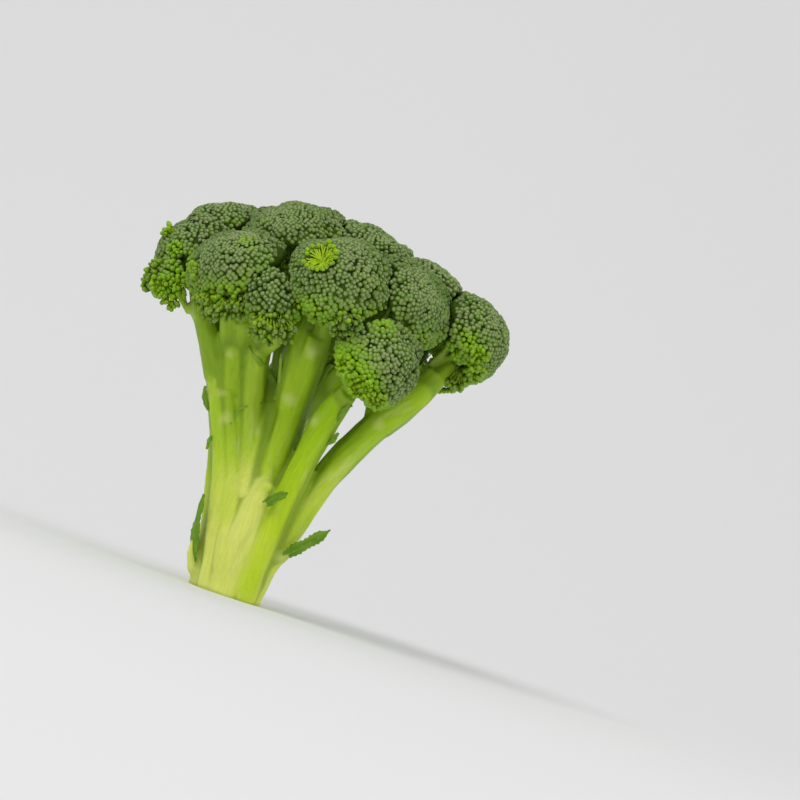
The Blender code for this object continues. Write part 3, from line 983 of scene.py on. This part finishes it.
# %% Strands
STRANDS = {
    "outer left": (0.35, [(204, 328, 2.6), (212, 354, 3.4), (214, 398, 3.5), (218, 437, 3.6), (219, 478, 3.9),
                          (214, 519, 4.0), (210, 550, 3.6)]),
    "left": (0.50, [(231, 334, 3.2), (232, 354, 3.8), (232, 398, 3.8), (233, 437, 3.8), (233, 478, 4.2),
                    (227, 519, 4.4), (220, 552, 4.2)]),
    "inner": (0.12, [(255, 360, 5.6), (255, 398, 5.6), (252, 431, 4.8), (247, 464, 3.8),
                     (242, 492, 3.2)]),
    "middle": (0.75, [(304, 326, 5.6), (304, 340, 6.6), (302, 366, 6.6), (294, 398, 6.2), (284, 431, 5.6),
                      (274, 462, 5.0), (265, 486, 3.6)]),
    "leaf base": (0.05, [(261, 485, 4.2), (253, 505, 6.4), (243, 533, 7.4), (235, 560, 8.0),
                         (226, 580, 8.0)]),
    "low": (1.0, [(341, 379, 6.5), (327, 407, 6.8), (313, 437, 6.3), (296, 470, 5.8),
                  (280, 505, 5.8), (265, 544, 6.0), (252, 574, 6.4), (247, 590, 6.6)]),
    "right": (0.55, [(420, 396, 6.0), (400, 410, 6.3), (376, 429, 6.5), (350, 455, 6.0),
                     (328, 482, 5.4), (309, 513, 5.0), (292, 544, 4.6), (274, 571, 4.2)]),
}
TRACK_STEP = 2.0 * MM
CUT_REACH = 25.0 * MM  # a strand that comes this near to the cut goes right through it


def strand_lines():
    """For each strand: points along its line, half widths there, and how green it is."""
    solid = tree_of(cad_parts["stalk"].data)
    lines = []
    for green, track in STRANDS.values():
        met = [(*place, half * MM) for x, y, half in track if (place := seen_at(solid, x, y))]
        rows = np.array(met)
        if rows[-1, 2] < CUT_REACH:
            onward = rows[-1] + (rows[-1] - rows[-2]) * CUT_REACH / (rows[-2, 2] - rows[-1, 2])
            rows = np.vstack([rows, [*onward[:3], rows[-1, 3]]])
        far = np.concatenate([[0], np.cumsum(np.linalg.norm(np.diff(rows[:, :3], axis=0), axis=1))])
        even = np.linspace(0, far[-1], max(2, round(far[-1] / TRACK_STEP)))
        fine = np.column_stack([np.interp(even, far, rows[:, k]) for k in range(4)])
        lines.append((fine[:, :3], fine[:, 3], green))
    return lines


strands = strand_lines()
print("strands, mm:", [round(np.ptp(line[:, 2]) / MM) for line, _, _ in strands])

# %% [markdown]
# The solid stalk is a bundle of faceted tubes with flat ends. Booleans could join them,
# but not with soft forks. A voxel remesh melts them into one skin, and smoothing rounds
# it. Tapering tubes are melted in too: they hide a stem's flat end, carry two stems
# down to the cut, and are the feet of the small leaves.

# %% Tapering tubes
# Places along each tube and the radius there, all in mm
SHOULDERS = {
    "right": [(44.0, -8.0, 99.0, 7.9), (51.0, -8.0, 108.5, 7.6), (58.0, -8.0, 119.0, 6.4),
              (64.0, -8.0, 129.0, 4.4), (68.0, -8.0, 137.0, 2.0)],
    "middle, to the left": [(2.5, -12.0, 93.0, 8.8), (0.5, -16.0, 105.0, 8.6), (-1.5, -20.0, 117.0, 8.0),
                            (-2.5, -25.0, 129.0, 6.4), (-1.0, -30.0, 138.0, 3.0)],
    "middle, to the right": [(3.0, -12.0, 94.0, 8.5), (4.0, -18.0, 107.0, 7.8), (5.0, -26.0, 120.0, 7.0),
                             (6.0, -32.0, 130.0, 4.0)],
    "left, outward": [(-34.0, -10.0, 96.0, 7.6), (-43.0, -11.0, 110.0, 6.0), (-52.0, -10.0, 122.0, 4.8),
                      (-59.0, -8.0, 132.0, 3.0)],
    "left, forward": [(-29.5, -10.0, 92.0, 7.9), (-31.5, -13.0, 107.0, 6.8), (-36.0, -19.0, 121.0, 6.0),
                      (-38.0, -25.0, 131.0, 4.6), (-39.0, -29.0, 137.0, 2.5)],
    "left, upward": [(-33.0, -6.0, 97.0, 7.2), (-38.0, -5.0, 110.0, 6.2), (-45.0, -4.0, 123.0, 4.8),
                     (-51.0, -2.0, 134.0, 2.6)],
    "low": [(18.3, -19.6, 81.0, 7.1), (20.5, -24.0, 92.0, 6.9), (24.5, -31.0, 103.0, 5.8),
            (29.0, -39.0, 112.0, 3.0)],
    "inner": [(-19.3, -13.0, 101.0, 6.5), (-20.0, -17.0, 110.0, 6.2), (-19.5, -25.0, 120.0, 4.8),
              (-18.0, -32.0, 127.0, 2.4)],
    "back": [(-4.0, 21.0, 90.0, 8.1), (-5.0, 25.0, 100.0, 7.0), (-6.0, 29.0, 110.0, 5.4),
             (-7.0, 33.0, 120.0, 3.0)],
    "low, at the cut": [(8.6, -7.6, 17.0, 9.5), (8.0, -7.0, 10.0, 10.0), (7.3, -6.4, 5.0, 9.8),
                        (6.8, -5.9, 0.4, 9.4)],
    "right, at the cut": [(9.4, -4.1, 20.0, 9.4), (9.0, -4.0, 16.0, 10.0), (8.3, -3.5, 8.0, 9.8),
                          (7.7, -3.1, 0.4, 9.6)],
}
LEAF_FEET = {
    "right": [(12.0, -7.0, 20.0, 4.0), (19.0, -10.3, 24.0, 2.9), (23.0, -12.6, 27.6, 1.9),
              (28.0, -15.4, 32.6, 0.7)],
    "left": [(-12.0, -6.0, 5.0, 4.5), (-17.0, -7.6, 8.0, 3.0), (-19.4, -9.5, 12.8, 2.0),
             (-21.3, -12.0, 20.0, 0.7)],
    "front": [(4.0, -16.5, 44.5, 3.2), (6.4, -20.6, 46.2, 2.3), (8.2, -23.4, 48.4, 1.5),
              (10.6, -25.2, 51.0, 0.7)],
}
TAPER_SIDES = 12
print("tapering tubes:", len(SHOULDERS), "on stems and", len(LEAF_FEET), "under leaves")

# %% [markdown]
# Where a branch meets its floret it swells a little and then ends inside the buds. That
# knuckle and the floret's arms go into the bundle too, so that all of it is one skin.

# %% Melting the stems into one skin
VOXEL = 0.85 * MM
SMOOTH_TIMES, SMOOTH_SHARE = 7, 0.5
KNUCKLE = ((-4.0, 0.96), (0.0, 1.02), (3.0, 0.98), (6.5, 0.74), (9.5, 0.42))  # mm up, share of radius
ARM_SIDES = 10


def stems_and_tapers():
    """The solid stalk, knuckles, arms and tapering tubes, as one loose object."""
    bundle = Batch()
    solid = bmesh.new()
    solid.from_mesh(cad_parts["stalk"].data)
    bmesh.ops.triangulate(solid, faces=solid.faces)
    corners = np.array([v.co for v in solid.verts])
    bundle.add(corners, [[v.index for v in f.verts] for f in solid.faces], 0, 0, 0)
    solid.free()
    for form in forms.values():
        knuckle = [form.neck + form.lean * up * MM for up, _ in KNUCKLE]
        bundle.tube(knuckle, [share * form.neck_radius for _, share in KNUCKLE], TAPER_SIDES, 0, 0)
        for path in arms_of(form):
            radii = np.linspace(ARM_ROOT, ARM_TIP, len(path)) * form.neck_radius
            bundle.tube(path, radii, ARM_SIDES, 0, 0)
    for taper in [*SHOULDERS.values(), *LEAF_FEET.values()]:
        rows = np.array(taper)
        bundle.tube(rows[:, :3] * MM, rows[:, 3] * MM, TAPER_SIDES, 0, 0)
    return bundle.build("source", [])


def stalk_skin():
    source = stems_and_tapers()
    melt = source.modifiers.new("melt", "REMESH")
    melt.mode, melt.voxel_size = "VOXEL", VOXEL
    soft = source.modifiers.new("soft", "SMOOTH")
    soft.factor, soft.iterations = SMOOTH_SHARE, SMOOTH_TIMES
    bpy.context.view_layer.update()
    graph = bpy.context.evaluated_depsgraph_get()
    mesh = bpy.data.meshes.new_from_object(source.evaluated_get(graph))
    bpy.data.objects.remove(source, do_unlink=True)
    return mesh


skin = stalk_skin()
print("melted skin:", len(skin.vertices), "points")

# %% [markdown]
# The strands are drawn into the skin as a field: high along each strand's line, low in
# the creases between two. The field also says how green a place is, because the real
# strands differ in colour. Above the forks it fades, for there each strand is a stem.

# %% How the strands lift and colour the skin
STRAND_HEIGHT = 1.15 * MM
STRAND_EDGE, STRAND_FADE = 1.3, 2.6  # in half widths: a crease ends, and its effect ends
STRAND_TOP, STRAND_TOP_FADE, STRAND_LEAST = 100.0 * MM, 30.0 * MM, 0.15
CREASE_FROM, CREASE_OVER = 0.72, 0.4
GREEN_WITHIN = 0.9  # half widths
GREEN_ELSEWHERE, GREEN_CALM = 0.35, 0.15


def strand_field(points):
    """Lift off the strands' lines, how green each point is, and how deep in a crease."""
    best, green = np.full(len(points), np.inf), np.zeros(len(points))
    weight = np.full(len(points), 1e-9)
    for line, halves, fresh in strands:
        near = np.full(len(points), np.inf)
        for place, half in zip(line, halves):
            near = np.minimum(near, np.linalg.norm(points - place, axis=1) / half)
        best = np.minimum(best, near)
        share = np.exp(-(near / GREEN_WITHIN) ** 4)
        green += share * fresh
        weight += share
    lift = 1 - np.minimum(best, STRAND_EDGE) ** 2
    fade = np.clip((STRAND_FADE - best) / (STRAND_FADE - STRAND_EDGE), 0, 1)
    low = np.clip((STRAND_TOP - points[:, 2]) / STRAND_TOP_FADE, STRAND_LEAST, 1)
    crease = np.clip((best - CREASE_FROM) / CREASE_OVER, 0, 1) * fade
    green = green / (weight + GREEN_CALM) + GREEN_ELSEWHERE * GREEN_CALM / (weight + GREEN_CALM)
    return STRAND_HEIGHT * lift * fade * low, green, crease


print("strands stand up to", round(STRAND_HEIGHT / MM, 2), "mm")

# %% [markdown]
# Where a leaf once sat, the skin has a scar that is pale and raised a little. The
# places are read off the photograph. A noise breaks each scar's edge.

# %% Leaf scars
# Pixel, and radius in mm
SCARS = [(225, 418, 3.4), (230, 354, 2.6), (222, 393, 2.6), (311, 352, 4.6), (289, 399, 4.2),
         (314, 421, 3.8), (378, 424, 3.4), (198, 577, 7.5), (283, 559, 4.5), (268, 482, 3.5)]
SCAR_HEIGHT = 0.4 * MM
SCAR_REACH = 2  # a scar ends this many radii from its middle
SCAR_OFTEN, SCAR_EDGE, SCAR_BREAK = 420, 0.75, 0.5


def scar_field(points, tree):
    """1 at the middle of a scar, fading to 0 at its edge."""
    field = np.zeros(len(points))
    for x, y, size in SCARS:
        place = seen_at(tree, x, y)
        if place:
            apart = np.linalg.norm(points - np.array(place), axis=1) / (size * MM)
            near = apart < SCAR_REACH
            rough = np.array([noise.noise(Vector(point) * SCAR_OFTEN) for point in points[near]])
            scar = np.exp(-apart[near] ** 2 / (SCAR_EDGE + SCAR_BREAK * rough))
            field[near] = np.maximum(field[near], scar)
    return field


print("scars:", len(SCARS))

# %% [markdown]
# Finer ribs run along trunk and branches alike. A noise that is stretched upward would
# do on a straight trunk, but the ribs have to follow the branches as they spread. So
# each point stores where it would lie if the bundle were squeezed back to the width of
# the trunk, and the noise is read there, for the ribs here and for the colour later.

# %% Ribs along the stalk
SPREAD_FROM, SPREAD_GAIN = 46.0 * MM, 0.030 / MM
SPREAD_SLOW, SPREAD_OVER = 0.35, 70 * MM  # the branches spread slowly at first
FLOW_STRETCH = 0.06
RIBS = ((0.30 / MM, 0.55 * MM), (0.75 / MM, 0.22 * MM))  # ribs per millimetre and their height
CUT_BAND = 1.3 * MM  # the knife has made everything below this flat


def flow_of(points):
    """Points squeezed back into the trunk, so that one place runs all along a branch."""
    rise = np.maximum(points[:, 2] - SPREAD_FROM, 0)
    gain = SPREAD_SLOW + (1 - SPREAD_SLOW) * np.minimum(rise / SPREAD_OVER, 1)
    spread = 1 + SPREAD_GAIN * rise * gain
    return np.column_stack([points[:, 0] / spread, points[:, 1] / spread, points[:, 2] * FLOW_STRETCH])


def rib_stalk(mesh):
    count = len(mesh.vertices)
    points, normals = np.empty(count * 3), np.empty(count * 3)
    mesh.vertices.foreach_get("co", points)
    mesh.vertices.foreach_get("normal", normals)
    points, normals = points.reshape(-1, 3), normals.reshape(-1, 3)
    flow = flow_of(points)
    lift = np.zeros(count)
    for often, height in RIBS:
        lift += height * np.array([noise.noise(Vector(f) * often) for f in flow])
    raised, green, crease = strand_field(points)
    scar = scar_field(points, tree_of(mesh))
    lift += raised + SCAR_HEIGHT * scar
    side = 1 - np.abs(normals[:, 2]) ** 4
    points = points + normals * (lift * side)[:, None]
    points[points[:, 2] < CUT_BAND, 2] = 0.0
    mesh.vertices.foreach_set("co", points.ravel())
    for name, values in (("flow", flow / MM), ("green", green), ("crease", crease), ("scar", scar)):
        store(mesh, name, values)
    mesh.update()


rib_stalk(skin)
print("height of the stalk, mm:", round(max(v.co.z for v in skin.vertices) / MM, 1))

# %% [markdown]
# The stalk is palest low down, where the trunk was thickest, and a clear yellow-green
# in the branches. Fine streaks run along it under a waxy skin, and light enters it a
# little way. An image could hold all this, but nodes that read the stored numbers fit
# the stems without any unwrapping.

# %% Stalk finish
STALK_TOP = 135 * MM  # from here up the skin's colour stays the same
HEIGHT_SWAY = 0.9  # how far a slow noise shifts the change of colour


def stalk_finish():
    made = Finish("stalk skin", roughness=0.38, specular=0.18)
    where = made.node("TexCoord").outputs["Object"]
    flow = made.stored("flow", "Vector")
    split = made.node("SeparateXYZ")
    made.put(where, split.inputs[0])
    height = made.node("MapRange")
    height.inputs["From Min"].default_value = 0.0
    height.inputs["From Max"].default_value = STALK_TOP
    made.put(split.outputs["Z"], height.inputs["Value"])
    sway = made.node("Math", operation="MULTIPLY_ADD")
    made.put(made.noise(where, 26.0, 1.0), sway.inputs[0])
    sway.inputs[1].default_value = HEIGHT_SWAY
    sway.inputs[2].default_value = -HEIGHT_SWAY / 2
    upward = made.node("Math", operation="ADD")
    made.put(height.outputs["Result"], upward.inputs[0])
    made.put(sway.outputs[0], upward.inputs[1])
    pale_skin = made.ramp(upward.outputs[0], [
        (0.0, srgb(226, 230, 128)), (0.22, srgb(214, 222, 106)), (0.45, srgb(188, 212, 66)),
        (0.72, srgb(172, 202, 56)), (1.0, srgb(160, 194, 54))])
    fresh_skin = made.ramp(upward.outputs[0], [
        (0.0, srgb(206, 218, 70)), (0.25, srgb(182, 212, 16)), (0.6, srgb(160, 200, 6)),
        (1.0, srgb(144, 188, 8))])
    skin = made.mix(made.stored("green"), pale_skin, fresh_skin)
    streaks = made.ramp(made.noise(flow, 1.5, 3.0), [
        (0.30, grey(0.92)), (0.52, grey(1.0)), (0.70, grey(1.05))])
    streaked = made.mix(1.0, skin, streaks, "MULTIPLY")
    pale = made.ramp(made.noise(flow, 0.42, 2.0), [(0.54, grey(0.0)), (0.74, grey(0.4))])
    mottled = made.mix(pale, streaked, srgb(208, 216, 140))
    # Painted shade: the creases between the strands are coloured a darker green.
    deep = made.ramp(made.stored("crease"), [(0.0, grey(0.0)), (1.0, grey(0.65))])
    crease_shaded = made.mix(deep, mottled, srgb(112, 146, 30))
    scarred = made.ramp(made.stored("scar"), [(0.15, grey(0.0)), (0.95, grey(0.5))])
    colour = made.mix(scarred, crease_shaded, srgb(214, 222, 128))
    made.put(colour, made.shader.inputs["Base Color"])
    fine = made.noise(flow, 2.6, 4.0)
    made.bump(fine, 0.22 * MM, 0.5)
    made.soften(0.22, (0.9, 1.0, 0.35), 3.5 * MM)
    return made.material


stalk_material = stalk_finish()
print("finish:", stalk_material.name)

# %% [markdown]
# The knife's cut is paler than the skin, with a darker ring of fibres just inside the
# rind. The ramp's places are distances from the middle of the cut, in metres.

# %% Knife cut


def cut_finish():
    made = Finish("knife cut", roughness=0.62, specular=0.3)
    where = made.node("TexCoord").outputs["Object"]
    outward = made.node("VectorMath", operation="LENGTH")
    made.put(where, outward.inputs[0])
    rings = made.ramp(outward.outputs["Value"], [
        (0.0, srgb(214, 216, 150)), (0.0105, srgb(206, 210, 130)), (0.0135, srgb(186, 190, 92)),
        (0.0150, srgb(212, 212, 146)), (0.0182, srgb(160, 176, 62))])
    fibres = made.ramp(made.noise(where, 1500.0, 3.0), [(0.35, grey(0.82)), (0.62, grey(1.05))])
    made.put(made.mix(1.0, rings, fibres, "MULTIPLY"), made.shader.inputs["Base Color"])
    made.bump(made.noise(where, 1200.0, 3.0), 0.3 * MM, 0.6)
    return made.material


cut_material = cut_finish()
print("finish:", cut_material.name)

# %% [markdown]
# The finished skin takes the place of the solid stalk. Its faces at the bottom that
# look straight down are the cut, and get the second finish.

# %% Putting the stalk together
CUT_FACING, CUT_LEVEL = -0.9, 0.3 * MM


def make_stalk(mesh):
    mesh.materials.clear()
    mesh.materials.append(stalk_material)
    mesh.materials.append(cut_material)
    for face in mesh.polygons:
        if face.normal.z < CUT_FACING and face.center.z < CUT_LEVEL:
            face.material_index = 1
    mesh.shade_smooth()
    piece = bpy.data.objects.new("stalk_skin", mesh)
    bpy.context.scene.collection.objects.link(piece)
    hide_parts("stalk")
    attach(piece, "root")
    return piece


stalk = make_stalk(skin)
print("stalk skin:", len(stalk.data.polygons), "faces")

# %% [markdown]
# The solid leaves are plain strips. To lay finer blades in their places, each one is
# read back as a rib with a half width: it is sliced across a few times, and the middle
# and the width of every slice are measured.

# %% Measuring a solid leaf
SLICES = np.linspace(0.05, 0.95, 8)  # places along a solid leaf where it is measured


def leaf_sections(name):
    """(middle, side, half width) at each slice through a leaf's solid, root first."""
    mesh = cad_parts[name].data
    points = np.array([v.co for v in mesh.vertices])
    _, _, axes = np.linalg.svd(points - points.mean(0))
    ahead = axes[0] if axes[0][2] > 0 else -axes[0]
    along = points @ ahead
    middles, sides, halves = [], [], []
    for share in SLICES:
        cage = bmesh.new()
        cage.from_mesh(mesh)
        place = ahead * (along.min() + share * np.ptp(along))
        cut = bmesh.ops.bisect_plane(cage, geom=cage.verts[:] + cage.edges[:] + cage.faces[:],
                                     plane_co=place, plane_no=ahead)
        ring = np.array([g.co for g in cut["geom_cut"] if isinstance(g, bmesh.types.BMVert)])
        cage.free()
        middle = 0.5 * (ring.min(0) + ring.max(0))
        side = np.linalg.svd(ring - ring.mean(0))[2][0]
        if sides and side @ sides[-1] < 0:
            side = -side
        middles.append(middle)
        sides.append(side)
        halves.append(np.ptp(ring @ side) / 2)
    return np.array(middles), np.array(sides), np.array(halves)


leaf_names = sorted(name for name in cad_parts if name.startswith("leaf_"))
print("widest place, mm:", {name: round(2 * leaf_sections(name)[2].max() / MM, 1) for name in leaf_names})

# %% [markdown]
# A leaf is darker and bluer than the stalk, paler along its veins, and lets some light
# through. The veins are stored on the blade, so their colour lies on their relief.

# %% Leaf finish


def leaf_finish():
    made = Finish("leaf blade", roughness=0.48, specular=0.25)
    vein = made.stored("rise")
    blade = made.ramp(made.stored("tone"), [(0.0, srgb(84, 126, 12)), (0.5, srgb(110, 152, 26)),
                                            (1.0, srgb(140, 176, 54))])
    colour = made.mix(made.ramp(vein, [(0.35, grey(0.0)), (0.9, grey(0.6))]), blade, srgb(150, 180, 70))
    made.put(colour, made.shader.inputs["Base Color"])
    where = made.node("TexCoord").outputs["Object"]
    made.bump(made.noise(where, 900.0, 3.0), 0.2 * MM, 0.5)
    made.soften(0.15, (0.6, 1.0, 0.25), 1.5 * MM)
    return made.material


leaf_material = leaf_finish()
print("finish:", leaf_material.name)

# %% [markdown]
# A blade is a grid of points along its rib, with a waved, toothed edge, a raised midrib
# and side veins. A thin Solidify keeps it a closed body. The same maker serves the
# leaves and the torn remnants on the stems.

# %% One blade
BLADE_COLUMNS, BLADE_THICKNESS = 13, 0.7 * MM
TOOTH_SHARE = 0.26
WAVES, CUPPING = 13, 0.25
VEINS, VEIN_SLANT, VEIN_SHARPNESS = 6, 0.18, 10
MIDRIB_WIDTH = 0.13


def make_blade(name, rib, side, half, teeth, wave, tone):
    """A thin closed blade along a rib, with a toothed, waved edge."""
    draw = np.random.default_rng(len(name))
    shift = draw.random() * 10
    rows = len(rib)
    t = np.linspace(0, 1, rows)
    up = unit(np.cross(np.gradient(rib, axis=0), side))
    cage = bmesh.new()
    tone_of, vein_of, lines = [], [], []
    for row in range(rows):
        line = []
        for column in range(BLADE_COLUMNS):
            across = 2 * column / (BLADE_COLUMNS - 1) - 1
            tooth = abs(math.sin(math.pi * teeth * t[row] + across)) * TOOTH_SHARE
            wide = half[row] * (1 - tooth * abs(across) ** 3)
            lift = wave * across**2 * math.sin(WAVES * t[row] + shift + 2 * across)
            lift += CUPPING * half[row] * across**2
            slant = t[row] - VEIN_SLANT * abs(across)
            veins = abs(math.sin(math.pi * VEINS * slant)) ** VEIN_SHARPNESS * (1 - abs(across))
            midrib = math.exp(-(across / MIDRIB_WIDTH) ** 2) * (1 - 0.6 * t[row])
            lift += (0.35 * midrib + 0.10 * veins) * min(MM, half[row] * 0.3)
            line.append(cage.verts.new(Vector(rib[row] + side[row] * wide * across + up[row] * lift)))
            mottle = noise.noise(Vector((t[row] * 5, across * 2, shift)))
            tone_of.append(tone + 0.35 * mottle + 0.2 * abs(across))
            vein_of.append(min(1.0, midrib + 0.6 * veins))
        lines.append(line)
    for low, high in zip(lines, lines[1:]):
        for k in range(BLADE_COLUMNS - 1):
            cage.faces.new((low[k], low[k + 1], high[k + 1], high[k]))
    mesh = bpy.data.meshes.new(name)
    cage.to_mesh(mesh)
    cage.free()
    store(mesh, "tone", np.array(tone_of))
    store(mesh, "rise", np.array(vein_of))
    mesh.materials.append(leaf_material)
    mesh.shade_smooth()
    blade = bpy.data.objects.new(name, mesh)
    bpy.context.scene.collection.objects.link(blade)
    shell = blade.modifiers.new("thickness", "SOLIDIFY")
    shell.thickness, shell.offset = min(BLADE_THICKNESS, half.max() * 0.5), 0.0
    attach(blade, "root")
    return blade


print("a blade has", BLADE_COLUMNS, "points across")

# %% [markdown]
# Each leaf gets a blade along a smooth curve through its measured slices, which keeps
# the solid's place, bend and width.

# %% Leaves
LEAF_ROWS, LEAF_TEETH, LEAF_WAVE, LEAF_TONE = 40, 11, 0.55 * MM, 0.3


def make_leaf(name):
    middles, sides, halves = leaf_sections(name)
    t = np.linspace(0, 1, LEAF_ROWS)
    fit = [np.polyval(np.polyfit(SLICES, middles[:, k], 3), t) for k in range(3)]
    side = unit(np.column_stack([np.interp(t, SLICES, sides[:, k]) for k in range(3)]))
    half = np.interp(t, SLICES, halves) * np.clip(6 * (1.02 - t), 0, 1)
    rib = np.column_stack(fit)
    blade = make_blade(name + "_blade", rib, side, half, LEAF_TEETH, LEAF_WAVE, LEAF_TONE)
    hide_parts(name)
    return blade


for name in leaf_names:
    blade = make_leaf(name)
    print(blade.name, [round(v / MM, 1) for v in blade.dimensions])

# %% [markdown]
# Thin remnants of leaves cling to the stems. Each line is a few pixels of the
# photograph, cast on the stalk's skin, with half the width and how far it stands off,
# both in millimetres. A pixel beside the stalk keeps the depth of the one before it.

# %% Leaf remnants on the stems
REMNANTS = {
    "long": (1.15, [(276, 399, 0.9, 0.2), (272, 379, 1.9, 0.7), (263, 368, 1.5, 1.2),
                    (258, 355, 1.1, 2.2), (254, 346, 0.3, 3.2)]),
    "short": (1.1, [(280, 384, 0.6, 0.2), (282, 368, 1.0, 1.0), (285, 353, 0.3, 2.2)]),
    "corner": (0.9, [(315, 388, 0.7, 0.3), (323, 377, 1.7, 1.2), (331, 369, 1.4, 2.4), (337, 367, 0.3, 3.4)]),
    "sprig": (0.8, [(230, 424, 0.5, 0.2), (235, 413, 0.6, 0.9), (243, 408, 0.5, 1.4), (264, 403, 0.3, 2.4)]),
    "edge_high": (0.3, [(209, 410, 0.8, 0.2), (205, 399, 1.4, 0.8), (205, 386, 0.4, 1.0)]),
    "edge_low": (0.3, [(212, 436, 0.8, 0.3), (209, 441, 1.0, 1.2), (207, 449, 0.4, 2.0)]),
    "curl_high": (0.4, [(338, 421, 0.5, 0.3), (342, 410, 1.1, 1.2), (350, 402, 0.4, 2.4)]),
    "curl_low": (0.4, [(327, 444, 0.7, 0.2), (333, 440, 1.5, 1.4), (338, 433, 0.4, 2.6)]),
}
REMNANT_ROWS, REMNANT_TEETH, REMNANT_WAVE = 16, 4, 0.3 * MM

skin_tree = tree_of(stalk.data)


def make_remnant(name, tone, track):
    """A blade along a track of pixels, its face turned half towards the camera."""
    knots, normals = [], []
    for x, y, half, off in track:
        start, way = pixel_ray(x, y)
        place, normal, _, _ = skin_tree.ray_cast(start, way)
        if place is None:
            depth = (Vector(knots[-1][:3]) - start).dot(way) if knots else camera.location.length
            place, normal = start + way * depth, -way
        knots.append((*(place + normal * off * MM), half * MM))
        normals.append(normal)
    at, t = np.linspace(0, 1, len(knots)), np.linspace(0, 1, REMNANT_ROWS)
    degree = min(3, len(knots) - 1)
    rib = np.column_stack([np.polyval(np.polyfit(at, [k[i] for k in knots], degree), t) for i in range(3)])
    face = np.column_stack([np.interp(t, at, [n[i] for n in normals]) for i in range(3)])
    face = unit(face) + unit(np.array(camera.location) - rib)
    side = unit(np.cross(np.gradient(rib, axis=0), face))
    half = np.interp(t, at, [k[3] for k in knots])
    return make_blade("remnant_" + name, rib, side, half, REMNANT_TEETH, REMNANT_WAVE, tone)


for name, (tone, track) in REMNANTS.items():
    make_remnant(name, tone, track)
print("leaf remnants:", len(REMNANTS))
